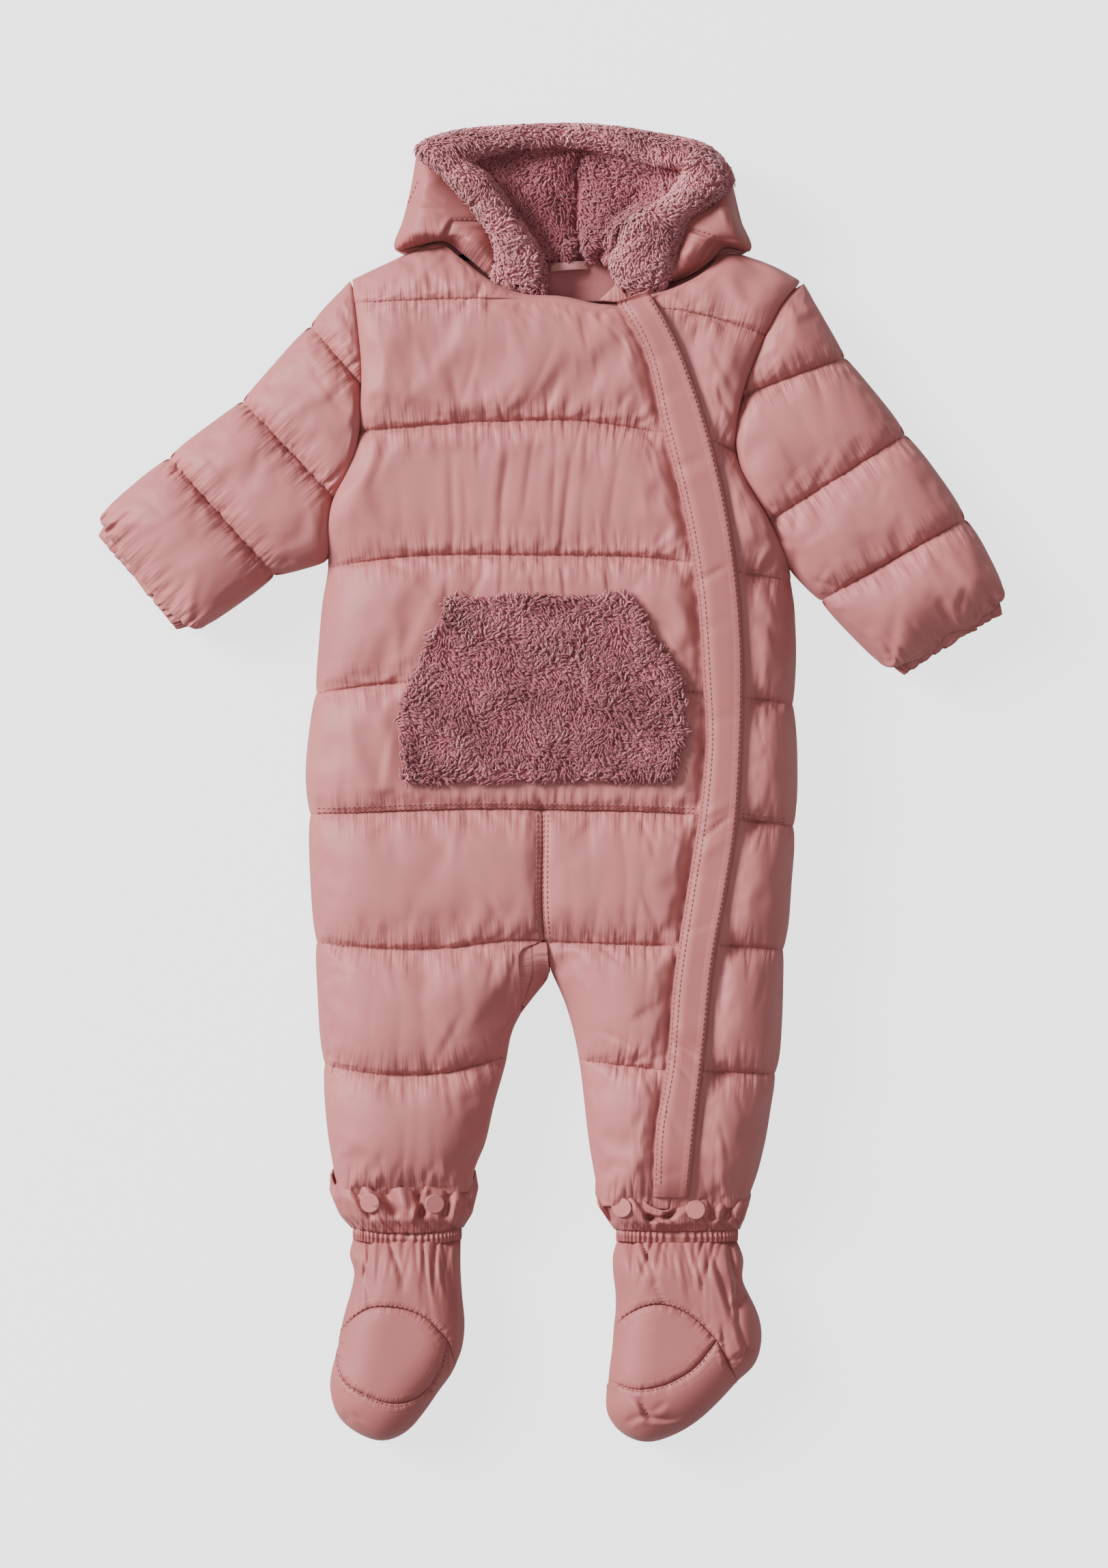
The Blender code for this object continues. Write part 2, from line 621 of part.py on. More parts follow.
body_left, body_right = seamed(left_x, ARMPIT_LEFT_Y, 1), seamed(right_x, ARMPIT_RIGHT_Y, -1)
FLAP_COLUMNS = np.linspace(0, 1, 3)
half_flap_left = FLAP_COLUMNS[1:]
half_flap_right = FLAP_COLUMNS[:-1]

torso_rows, leg_rows = row_counts(0, WAIST), row_counts(WAIST, HEM)
main_grid = front_panel("front_main", torso_rows, [
    (body_left, stitch_x, columns_between(22, True, False)),
    (stitch_x, moved(zip_x, -HALF_GAP), half_flap_left),
], (0, HALF_GAP))
side_grid = front_panel("front_side", torso_rows, [
    (moved(zip_x, HALF_GAP), free_x, half_flap_right),
    (free_x, body_right, columns_between(5, False, True)),
], (0, HALF_GAP))


gusset_x = through(GUSSET_SEAM)


def inner_left(y):
    """The inner side of the plain leg: the centre seam, the gusset's seam, then the inseam."""
    y = np.asarray(y)
    gusset = np.where(y > GUSSET_END_Y, gusset_x(y), inseam_left_x(y))
    return np.where(y > GUSSET_SEAM[0][0], centre_x(y), gusset) - HALF_GAP


def back_inner_left(y):
    return np.where(np.asarray(y) > -99, centre_x(y), inseam_left_x(y)) - HALF_GAP


def inner_right(y):
    return np.where(np.asarray(y) > -99, centre_x(y), inseam_right_x(y)) + HALF_GAP


front_panel("leg_left_front", leg_rows, [
    (left_x, inner_left, columns_between(14, True, True)),
], (HALF_GAP, 0))
front_panel("leg_right_front_inner", leg_rows, [
    (inner_right, stitch_x, columns_between(9, True, False)),
    (stitch_x, moved(zip_x, -HALF_GAP), half_flap_left),
], (HALF_GAP, 0))
front_panel("leg_right_front_outer", leg_rows, [
    (moved(zip_x, HALF_GAP), free_x, half_flap_right),
    (free_x, right_x, columns_between(5, False, True)),
], (HALF_GAP, 0))

# ---- the zip flap: doubled cloth from neck to hem over the zip, stitched down on its left
flap_rows = torso_rows[:-1] + leg_rows[:-1]
flap_flat, flap_share, flap_depth = body_grid(flap_rows, [
    (moved(stitch_x, 0.6), free_x, np.linspace(0, 1, 3)),
])
flap_low = body_height(flap_flat, flap_share, flap_depth) + 1.4
flap_high = flap_low + FLAP_THICK
layer("zip_flap", SHELL,
      np.concatenate([flap_flat, flap_low[..., None]], axis=2),
      np.concatenate([flap_flat, flap_high[..., None]], axis=2))

# ---- the pocket: sherpa, standing on the belly with its slanted sides open for the hands
POCKET_SIZE = (10, 13)
pocket_y = np.linspace(1, 0, POCKET_SIZE[0])
pocket_grid = []
for share in pocket_y:
    row = []
    for across in np.linspace(0, 1, POCKET_SIZE[1]):
        low_y, high_y = 1 + 2 * across, 114 + 2 * across
        y = low_y + (high_y - low_y) * share
        left, right = float(through(POCKET_LEFT)(y)), float(through(POCKET_RIGHT)(y))
        row.append((left * (1 - across) + right * across, y))
    pocket_grid.append(row)
pocket_flat = np.array(pocket_grid)
POCKET_STEP = 6.0  # the pocket clears the highest point within this distance
POCKET_PROBES = ((0, 0), (1, 0), (-1, 0), (0, 1), (0, -1))
pocket_low = np.max([
    body_height(spot, *channel(spot[..., 0], spot[..., 1]))
    for spot in [pocket_flat + np.array(step) * POCKET_STEP for step in POCKET_PROBES]
], axis=0) + 1.2
border_far = distance(pocket_flat, np.concatenate([POCKET_BORDER, POCKET_BORDER[:1]]))
pocket_high = pocket_low + PILE_THICK * (0.45 + 0.55 * round_over(border_far / 10))
layer("pocket", SHERPA,
      np.concatenate([pocket_flat, pocket_low[..., None]], axis=2),
      np.concatenate([pocket_flat, pocket_high[..., None]], axis=2))


# ---- sleeves, each with a front and an under part, and an elastic edge at the cuff
def beside(armhole, ys, sign):
    """Places beside a panel's own edge points, moved out wherever a straight run between two of
    them would cut into the panel."""
    by_height = armhole[np.argsort(armhole[:, 1])]
    xs = np.interp(ys, by_height[:, 1], by_height[:, 0]) + sign * SEAM_GAP
    for j in range(len(ys) - 1):
        a, b = ys[j], ys[j + 1]
        within = armhole[(armhole[:, 1] < a) & (armhole[:, 1] > b)]
        if len(within):
            run = (a - within[:, 1]) / (a - b)
            short = (sign * (within[:, 0] - xs[j] * (1 - run) - xs[j + 1] * run)).max() + SEAM_GAP
            if short > 0:
                xs[j:j + 2] += sign * short
    return xs


def sleeve(side, at, armhole, across_count=10):
    """armhole holds the front panel's own points beside the sleeve."""
    rows = row_counts(0, 4)
    ends = [at(min(count, 4.0)) for count in rows]
    seamed_rows = [row for row, count in enumerate(rows) if count <= SLEEVE_ARMPIT]
    ys = np.array([float(ends[row][1][1]) for row in seamed_rows])
    for row, x, y in zip(seamed_rows, beside(armhole, ys, -1 if side == "left" else 1), ys):
        ends[row] = (ends[row][0], np.array([x, y]))
    shares = columns_between(across_count, True, True)
    flat = np.array([[outer + (inner - outer) * s for s in shares] for outer, inner in ends])
    share = np.array([[count - min(int(count), 3)] * len(shares) for count in rows])
    depth = np.full(share.shape, 62.0)
    z = gathered(sleeve_height(flat, share, depth), share, depth, SPLIT + 14)
    grid = np.concatenate([flat, z[..., None]], axis=2)
    padded_wall(f"sleeve_{side}_front", SHELL, grid, SPLIT + SEAM_GAP)
    border = [(*at(s)[0], float(np.clip(s / 0.6, 0, 1))) for s in SLEEVE_STEPS[::2]]
    cuff = np.array([border[-1][:2], at(4)[1]])
    border += [(*(cuff[0] + (cuff[1] - cuff[0]) * s), 1.0) for s in np.linspace(0, 1, 6)[1:-1]]
    for s in SLEEVE_STEPS[::-2]:
        border.append((*at(s)[1], float(np.clip((s - SLEEVE_ARMPIT) / 0.35, 0, 1))))
    back_wall(f"sleeve_{side}_back", SHELL, border, SPLIT)
    return cuff


CUFF_RING = 28
CUFF_WAVES = 9
CUFF_THICK = 3.2
CUFF_DEPTH = 7.0
CUFF_HALF_HEIGHT = 11.0
CUFF_CENTRE_Z = 23.0


def elastic_cuff(side, cuff, out):
    """A gathered ring at the sleeve's end, with a flat open mouth."""
    middle, half = cuff.mean(axis=0), (cuff[1] - cuff[0]) / 2
    half = half * (1 - 7.0 / np.linalg.norm(half))
    out = np.array(out, float) / np.linalg.norm(out)
    wide = np.linalg.norm(half)
    outer, inner = [], []
    for step, (away, grow) in enumerate(((SEAM_GAP, 1.0), (CUFF_DEPTH * 0.6, 0.98), (CUFF_DEPTH, 0.93))):
        ring_out, ring_in = [], []
        for i in range(CUFF_RING):
            angle = 2 * math.pi * i / CUFF_RING
            wave = 1 + 0.06 * math.cos(CUFF_WAVES * angle) * (step > 0)
            flatness = 0.72
            c = math.copysign(abs(math.cos(angle)) ** flatness, math.cos(angle))
            s = math.copysign(abs(math.sin(angle)) ** flatness, math.sin(angle))
            for ring, cut in ((ring_out, 0.0), (ring_in, CUFF_THICK)):
                spot = middle + out * away + half * c * grow * wave * (wide - cut) / wide
                ring.append((*spot, CUFF_CENTRE_Z + s * grow * wave * (CUFF_HALF_HEIGHT - cut)))
        outer.append(ring_out)
        inner.append(ring_in)
    tube(f"cuff_{side}", SHELL, np.array(outer), np.array(inner))


elastic_cuff("left", sleeve("left", left_sleeve, main_grid[:, 0, :2]), (-0.78, -0.62))
elastic_cuff("right", sleeve("right", right_sleeve, side_grid[:, -1, :2]), (0.53, -0.85))

# ---- backs
def blend_in(y, armpit):
    return float(np.clip((armpit - 4 - y) / 12, 0, 1))


def down_side(edge, side, sleeve_at, armpit, count):
    """A side of the upper back: beside the sleeve, then free down to the waist."""
    ys = [float(sleeve_at(s)[1][1]) for s in SLEEVE_STEPS[::2] if s <= SLEEVE_ARMPIT]
    ends = float(LINES[WAIST](side * 150)) + HALF_GAP
    border = [(float(edge(y)) - side * HALF_GAP, y, 0.0) for y in ys]
    return border + [(float(edge(y)), y, blend_in(y, armpit)) for y in np.linspace(armpit - 6, ends, count)]


waist_inner = np.linspace(-125, 125, 6)
back_upper = down_side(left_x, -1, left_sleeve, ARMPIT_LEFT_Y, 13)
back_upper += [(x, float(LINES[WAIST](x)) + HALF_GAP, 0.0) for x in waist_inner]
back_upper += down_side(right_x, 1, right_sleeve, ARMPIT_RIGHT_Y, 13)[::-1]
back_upper += [(138, 317, 0.8), (122, 322, 0.6)]
back_upper += [(x, NECK_SEAM_Y, 0.0) for x in (105, 75, 40, -10, -50, -84)]
back_upper += [(-100, 319, 0.6), (-112, 315, 0.8)]
back_wall("back_upper", SHELL, back_upper, SPLIT)


def leg_back(name, outside, inside, hem_y, hem_left, hem_right, side):
    top = float(LINES[WAIST](side * 150)) - HALF_GAP
    outer_ys = np.linspace(top, hem_y, 17)
    border = [(float(outside(y)), y, 1.0) for y in outer_ys]
    border += [(x, hem_y, 1.0) for x in np.linspace(hem_left, hem_right, 6)[1:-1]]
    inner_top = float(LINES[WAIST](inside(-17))) - HALF_GAP
    inner_ys = np.linspace(hem_y, inner_top, 14)
    border += [(float(inside(y)), y, float(np.clip((CROTCH_Y + 8 - y) / 16, 0, 1))) for y in inner_ys]
    xs = np.linspace(float(inside(-17)) + side * 20, side * 125, 5)
    border += [(x, float(LINES[WAIST](x)) - HALF_GAP, 0.0) for x in xs]
    back_wall(name, SHELL, border, SPLIT)


leg_back("leg_left_back", left_x, back_inner_left, -247, -134, -50, -1)
leg_back("leg_right_back", right_x, inner_right, -253, 120, 30, 1)

# ---- the gusset: a small puff at the top of the inseam
GUSSET_LEFT = [(-18.6, -104.5), (-19.1, -118), (-19, -136)]
GUSSET_RIGHT = [(-4.8, -100.5), (-2.6, -109), (-2.4, -118), (-8, -126.5), (-16.5, -136.5)]
GUSSET_ACROSS = np.array([0, 0.15, 0.4, 0.7, 0.92, 1])[:, None]
gusset_left, gusset_right = path(GUSSET_LEFT, 9), path(GUSSET_RIGHT, 9)
gusset = patch(
    gusset_left[0] * (1 - GUSSET_ACROSS) + gusset_right[0] * GUSSET_ACROSS,
    gusset_left[-1] * (1 - GUSSET_ACROSS) + gusset_right[-1] * GUSSET_ACROSS,
    gusset_left, gusset_right,
)
gusset_share = np.repeat(np.linspace(0, 1, 9)[:, None], 6, axis=1)
gusset_rise = round_over(distance(gusset, OUTLINE) / 22) * (8 + 12 * puff(gusset_share))
gusset_high = SPLIT + SEAM_GAP + CLOTH + gusset_rise
padded_wall("gusset", SHELL, np.concatenate([gusset, gusset_high[..., None]], axis=2), SPLIT + SEAM_GAP)

# ---- hood: a back panel that lies flat, two padded sides, a sherpa lining and an edge band
band_table = {name: [row[i] for row in HOOD_BAND] for i, name in enumerate(BAND_ROWS)}
BAND_STATIONS = 36
count_of = np.linspace(0, 1, len(HOOD_BAND))
station = np.linspace(0, 1, BAND_STATIONS)
columns = {name: through(list(zip(count_of, band_table[name])))(station) for name in BAND_ROWS}
BAND_ACROSS = np.array([0, 0.06, 0.22, 0.5, 0.78, 0.94, 1])
inner_edge = np.stack([columns["inner_x"], columns["inner_y"]], axis=1)
outer_edge = np.stack([columns["outer_x"], columns["outer_y"]], axis=1)
FREE_FROM, FREE_TO = 0.32, 0.70  # along the band, where its outer side is the hood's outline
band_grid = np.zeros((BAND_STATIONS, len(BAND_ACROSS), 3))
for i, along in enumerate(station):
    free = float(np.clip(min(along - FREE_FROM, FREE_TO - along) / 0.05, 0, 1))
    for j, across in enumerate(BAND_ACROSS):
        low = SPLIT + SEAM_GAP + (14 if across < 0.5 else 16 * (1 - free) + CLOTH * free)
        crown = columns["crown"][i]
        height = low + (crown - low) * (1 - abs(2 * across - 1) ** 2.6) ** 0.55
        spot = inner_edge[i] * (1 - across) + outer_edge[i] * across
        band_grid[i, j] = (*spot, height)
padded_wall("hood_band", SHERPA, band_grid, SPLIT + SEAM_GAP)


def lining_half(name, first, last, side):
    """Half of the hood's lining: a bowl between the middle crease and the band's inner edge."""
    edge = inner_edge[first:last]
    count = len(edge)
    crease = path([(x + side * HALF_GAP, y) for x, y in HOOD_CREASE], count)
    if side > 0:
        edge = edge[::-1]
    shares = np.array([0, 0.15, 0.4, 0.7, 1])
    grid = np.zeros((count, len(shares), 3))
    for i in range(count):
        towards = crease[i] - edge[i]
        start = edge[i] + towards / np.linalg.norm(towards) * 2 * SEAM_GAP
        for j, share in enumerate(shares):
            spot = crease[i] * (1 - share) + start * share
            bowl = 4.0 + 14.0 * share**1.8 + 3.0 * math.sin(math.pi * min(share * 1.6, 1))
            grid[i, j] = (*spot, SPLIT + SEAM_GAP + CLOTH + bowl)
    padded_wall(name, SHERPA, grid, SPLIT + SEAM_GAP)


TOP_STATION = int(np.argmin(np.abs(inner_edge[:, 0] - 17) + (inner_edge[:, 1] < 380) * 100))
LINING_START, LINING_END = 4, BAND_STATIONS - 4
lining_half("hood_lining_left", LINING_START, TOP_STATION + 1, -1)
lining_half("hood_lining_right", TOP_STATION, LINING_END, 1)


def hood_side(name, outline, first, last, side):
    """A padded side of the hood, between the edge band and the hood's outline."""
    edge = path(outer_edge[first:last], 13)
    outer = path(outline, 13)
    if side < 0:
        edge = edge[::-1]
    shares = np.array([0, 0.08, 0.25, 0.5, 0.72, 0.86, 0.95, 1])
    grid = np.zeros((13, len(shares), 3))
    for i in range(13):
        away = outer[i] - edge[i]
        start = edge[i] + away / max(np.linalg.norm(away), 1e-6) * SEAM_GAP
        for j, share in enumerate(shares):
            spot = start * (1 - share) + outer[i] * share
            wide = min(1.0, np.linalg.norm(away) / 25)
            height = 16 + 10 * wide * math.sin(math.pi * min(share * 1.1, 1)) ** 0.7
            height *= float(round_over((1 - share) * np.linalg.norm(away) / 16 + 0.12))
            grid[i, j] = (*spot, SPLIT + SEAM_GAP + CLOTH + height)
    padded_wall(name, SHELL, grid, SPLIT + SEAM_GAP)


def nearest_station(x, y):
    return int(np.argmin(np.linalg.norm(outer_edge - np.array([x, y]), axis=1)))


hood_side("hood_side_left", HOOD_SIDE_LEFT, 0, nearest_station(-82, 383) + 1, -1)
hood_side("hood_side_right", HOOD_SIDE_RIGHT, nearest_station(110, 371), BAND_STATIONS, 1)

hood_back = [(-97, 329, 1), (-92, 346, 1), (-87, 366, 1), (-84, 384, 1), (-80, 394, 1), (-62, 400, 1),
             (-38, 403, 1), (3, 404.5, 1), (43, 402.5, 1), (74, 396.5, 1), (97, 391, 1), (109, 380, 1),
             (112, 366, 1), (116, 349, 1), (122, 329, 1)]
hood_back += [(x, NECK_SEAM_Y + SEAM_GAP, 0.0) for x in (105, 75, 40, -10, -50, -78)]
back_wall("hood_back", SHELL, hood_back, SPLIT)

# ---- at the back of the neck: the fleece facing, the hanger loop and the corner of the zip's underlap
facing = np.array([[(x, y) for x in np.linspace(-3, 34, 5)] for y in (NECK_SEAM_Y - 1.0, 313.0, 304.0)])
facing_low = np.full(facing.shape[:2], SPLIT + SEAM_GAP)
layer("neck_facing", FLEECE,
      np.concatenate([facing, facing_low[..., None]], axis=2),
      np.concatenate([facing, facing_low[..., None] + 2.5], axis=2))

# ---- the hanger loop: a tape bent up between its two sewn ends
LOOP_WIDE = 5.0
loop_run = np.linspace(0, 1, 7)
loop_z = facing_low[0, 0] + 2.5 + SEAM_GAP + 6.0 * np.sin(np.pi * loop_run)
loop_x, loop_y = -1 + 23 * loop_run, NECK_SEAM_Y - 2 - LOOP_WIDE
loop_low = np.array([[(x, loop_y + y, z) for x, z in zip(loop_x, loop_z)] for y in (LOOP_WIDE, 0)])
layer("hanger_loop", TAPE, loop_low, loop_low + np.array([0, 0, 1.2]))

# ---- the corner of the zip's underlap, standing on the neckline beside the flap
UNDERLAP_Z = 40.0
underlap = np.array([[(28, 296.1), (36.5, 295.1), (45, 296.5)], [(33.5, 300), (40, 299), (47, 298.6)],
                     [(39, 305), (44, 302.8), (49, 300.6)]])
underlap_low = np.concatenate([underlap, np.full((3, 3, 1), UNDERLAP_Z)], axis=2)
layer("zip_underlap", SHELL, underlap_low, underlap_low + np.array([0, 0, FLAP_THICK + 1]))


# ---- booties
def superellipse(angle, power):
    c, s = math.cos(angle), math.sin(angle)
    return math.copysign(abs(c) ** power, c), math.copysign(abs(s) ** power, s)


RING = 32
RUFFLE_WAVES = 8
RUFFLE_THICK = 2.0
ELASTIC_RIBS = 16
ELASTIC_HIGH = 30.0


def ring(centre_x, half_wide, low, high, thick, y_of, wave=0.0, waves=RUFFLE_WAVES, phase=0.0):
    """An outer and an inner ring round the ankle, flat underneath, standing from low to high."""
    outer, inner = [], []
    middle, half = (low + high) / 2, (high - low) / 2
    for i in range(RING):
        angle = 2 * math.pi * i / RING
        c, s = superellipse(angle, 0.72)
        grow = 1 + wave * math.cos(waves * angle + phase) * (0.5 + 0.5 * s)
        for points, cut in ((outer, 0.0), (inner, thick)):
            x = centre_x + c * (half_wide * grow - cut)
            z = middle + s * (half * (grow if s > 0 else 1) - cut)
            points.append((x, y_of(angle, x), z))
    return outer, inner


def ring_tube(name, rings):
    return tube(name, SHELL, np.array([r[0] for r in rings]), np.array([r[1] for r in rings]))


def seated_disc(name, x, y, radius, thick, under):
    """A round cap that lies on the piece under it, tilted as its surface is."""
    tree = BVHTree.FromObject(under, bpy.context.evaluated_depsgraph_get())
    ring_angles = np.linspace(0, 2 * math.pi, 9)[:-1]
    spots = [(x, y)] + [(x + radius * math.cos(a), y + radius * math.sin(a)) for a in ring_angles]
    hits = []
    for px, py in spots:
        place, _, _, _ = tree.ray_cast(Vector((px * MM, py * MM, 1.0)), Vector((0, 0, -1)))
        if place is not None:
            hits.append((px, py, place.z / MM))
    hits = np.array(hits)
    slope = np.linalg.lstsq(np.c_[hits[:, :2], np.ones(len(hits))], hits[:, 2], rcond=None)[0]
    lift = (hits[:, 2] - hits[:, :2] @ slope[:2] - slope[2]).max() + SEAM_GAP
    angles = np.linspace(0, 2 * math.pi, 15)[:-1]
    points = []
    for size, up in ((radius, 0.0), (radius, 0.6 * thick), (0.8 * radius, thick)):
        for a in angles:
            px, py = x + size * math.cos(a), y + size * math.sin(a)
            points.append((px, py, px * slope[0] + py * slope[1] + slope[2] + lift + up))
    count, faces = len(angles), []
    for level in (0, count):
        for i in range(count):
            j = (i + 1) % count
            a, b = level + i, level + j
            faces += [(a, b, b + count), (a, b + count, a + count)]
    faces += [tuple(range(count)), tuple(range(2 * count, 3 * count))]
    return add_solid(name, SHELL, points, faces, 0.4)


FOOT_ROWS = np.array([0, 0.09, 0.25, 0.5, 0.75, 0.91, 1])
ARCH_COLUMNS = 12
SIDE_COLUMNS = 4
MEETING = 2.5  # how far a bootie's vamp ends before the point where its three seams meet


def spread(points, count):
    """Points along a smooth line, close together at both its ends."""
    fine = path(points, 200)
    at = np.concatenate([[0, 0.3], np.arange(1, count - 3), [count - 3.3, count - 3]]) / (count - 3)
    return np.stack([np.interp(at, np.linspace(0, 1, 200), column) for column in fine.T], axis=1)


def at_rows(points, shares=FOOT_ROWS):
    fine = path(points, 200)
    return np.stack([np.interp(shares, np.linspace(0, 1, 200), column) for column in fine.T], axis=1)


def straight(a, b, shares):
    return np.array(a) * (1 - shares[:, None]) + np.array(b) * shares[:, None]


def below_hem(angle, x):
    """Where the ruffle's wavy mouth lies, just below the leg's hem."""
    return float(LINES[HEM](x)) - 1.0 - 0.5 * math.cos(RUFFLE_WAVES * angle)


def bootie(side):
    sizes = BOOTIES[side]
    (mx, my, mw), (bx, by, bw) = sizes["mouth"], sizes["elastic"]
    ruffle = ring_tube(f"bootie_{side}_ruffle", [
        ring(mx, mw, 0, 47, RUFFLE_THICK, below_hem, 0.05),
        ring(mx * 0.7 + bx * 0.3, mw * 1.0, 0, 46, RUFFLE_THICK, lambda a, x: my - 9, 0.075, phase=0.3),
        ring(mx * 0.4 + bx * 0.6, mw * 0.93, 0, 40, RUFFLE_THICK, lambda a, x: my - 17, 0.06, phase=0.6),
        ring(bx, bw * 1.06, 2, ELASTIC_HIGH + 1, RUFFLE_THICK, lambda a, x: by + ELASTIC_HALF + SEAM_GAP, 0.0),
    ])
    ring_tube(f"bootie_{side}_elastic", [
        ring(bx, bw, 2, ELASTIC_HIGH, 3.0, lambda a, x: by + ELASTIC_HALF, 0.02, ELASTIC_RIBS),
        ring(bx, bw, 2, ELASTIC_HIGH, 3.0, lambda a, x: by - ELASTIC_HALF, 0.02, ELASTIC_RIBS),
    ])
    for number, (x, y) in enumerate(sizes["snaps"], 1):
        seated_disc(f"snap_{side}_{number}", x, y, SNAP_RADIUS, SNAP_THICK, ruffle)

    # three upper pieces meet along the same points: the shaft, the vamp inside the arch, the toe
    arch, toe_seam = spread(sizes["arch"], ARCH_COLUMNS), spread(sizes["toe_seam"], ARCH_COLUMNS)
    side_seam = path(sizes["side_seam"], SIDE_COLUMNS)
    foot_edge = sizes["left_side"] + sizes["outline"] + sizes["right_side"][::-1]

    def raise_wall(name, grid, seams, extra=0.0):
        rise = round_over((distance(grid, foot_edge) + 0.4) / FOOT_REACH)
        far = np.minimum.reduce([distance(grid, seam) for seam in seams])
        shape = FOOT_RISE - 6.0 * (1 - round_over(far / 9))
        z = FOOT_SPLIT + SEAM_GAP + CLOTH + rise * shape + extra
        padded_wall(name, SHELL, np.concatenate([grid, z[..., None]], axis=2), FOOT_SPLIT + SEAM_GAP)

    shaft_low = np.concatenate([arch, side_seam[1:]])
    columns = len(shaft_low)
    shaft_top = straight(sizes["left_side"][0], sizes["right_side"][0], np.linspace(0, 1, columns))
    shaft = patch(shaft_top, shaft_low, at_rows(sizes["left_side"]), at_rows(sizes["right_side"]))
    folds = 1.3 * (1 - FOOT_ROWS[:, None]) ** 1.5 * np.cos(math.pi * np.arange(columns))[None]
    sunk = 9.0 * np.clip(1 - (shaft_top[0, 1] - shaft[..., 1]) / 20, 0, 1) ** 2
    raise_wall(f"bootie_{side}_shaft", shaft, (shaft_low,), folds - sunk)

    vamp_top, vamp_low = offset_line(arch, -SEAM_GAP), offset_line(toe_seam, 2 * SEAM_GAP)
    for line in (vamp_top, vamp_low):
        back = line[-2] - line[-1]
        line[-1] += back * MEETING / np.linalg.norm(back)
    rows = straight([0.0], [1.0], FOOT_ROWS)
    vamp = patch(vamp_top, vamp_low, vamp_top[0] * (1 - rows) + vamp_low[0] * rows,
                 vamp_top[-1] * (1 - rows) + vamp_low[-1] * rows)
    raise_wall(f"bootie_{side}_vamp", vamp, (toe_seam, arch))

    toe_top = np.concatenate([toe_seam[:-1], offset_line(side_seam, -SEAM_GAP)])
    toe_low = spread(sizes["outline"], len(toe_top))
    toe_low[-1] = toe_top[-1] + np.array([-0.5, -1.5])
    toe = patch(toe_top, toe_low, toe_top[0] * (1 - rows) + toe_low[0] * rows,
                toe_top[-1] * (1 - rows) + toe_low[-1] * rows)
    raise_wall(f"bootie_{side}_toe", toe, (toe_seam, side_seam))

    # under them the sole, and above its end the back of the shaft
    sole_end = float(max(arch[0][1], arch[-1][1]))
    top_y = sizes["left_side"][0][1]
    left_down = path(sizes["left_side"] + sizes["outline"], 34)[:-1]
    right_up = path(sizes["right_side"], 16)[::-1]

    def seam(y, shift):
        """A straight seam across at a height of the leg, with free corners, left to right."""
        a, b = (float(through([(v, u) for u, v in sizes[k]])(y)) for k in ("left_side", "right_side"))
        return [(a + (b - a) * t, y + shift, 0.8 * (t in (0, 1))) for t in (0, 0.3, 0.7, 1)]

    low_left, low_right = ([(x, y, 0.8) for x, y in line if y < sole_end - 2] for line in (left_down, right_up))
    back_wall(f"bootie_{side}_sole", SHELL, low_left + low_right + seam(sole_end, -HALF_GAP)[::-1], FOOT_SPLIT,
              BOOT_TUCK)
    high_left, high_right = ([(x, y, 0.8) for x, y in line if sole_end + 2 < y < top_y - 1]
                             for line in (left_down, right_up))
    back_wall(f"bootie_{side}_back", SHELL,
              high_left + seam(sole_end, HALF_GAP) + high_right + seam(top_y, 0.0)[::-1], FOOT_SPLIT, BOOT_TUCK)


for foot in ("left", "right"):
    bootie(foot)
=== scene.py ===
"""A baby's quilted snowsuit with a sherpa-trimmed hood and booties, laid flat on its back."""

import math

import bmesh
import bpy
import numpy as np
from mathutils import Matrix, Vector
from mathutils.bvhtree import BVHTree


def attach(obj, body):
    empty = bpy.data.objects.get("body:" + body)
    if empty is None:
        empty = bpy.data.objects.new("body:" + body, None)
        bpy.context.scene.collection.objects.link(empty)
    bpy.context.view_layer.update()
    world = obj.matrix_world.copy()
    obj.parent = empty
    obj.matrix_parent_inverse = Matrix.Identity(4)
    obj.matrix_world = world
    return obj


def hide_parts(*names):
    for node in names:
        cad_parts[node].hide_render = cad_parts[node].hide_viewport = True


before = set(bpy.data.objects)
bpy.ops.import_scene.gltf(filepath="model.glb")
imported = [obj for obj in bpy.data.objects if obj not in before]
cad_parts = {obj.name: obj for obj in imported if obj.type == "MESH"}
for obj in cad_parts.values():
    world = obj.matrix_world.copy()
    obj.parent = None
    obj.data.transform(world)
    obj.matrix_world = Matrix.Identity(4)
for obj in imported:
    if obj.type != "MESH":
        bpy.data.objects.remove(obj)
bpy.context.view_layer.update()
bpy.ops.object.select_all(action="DESELECT")

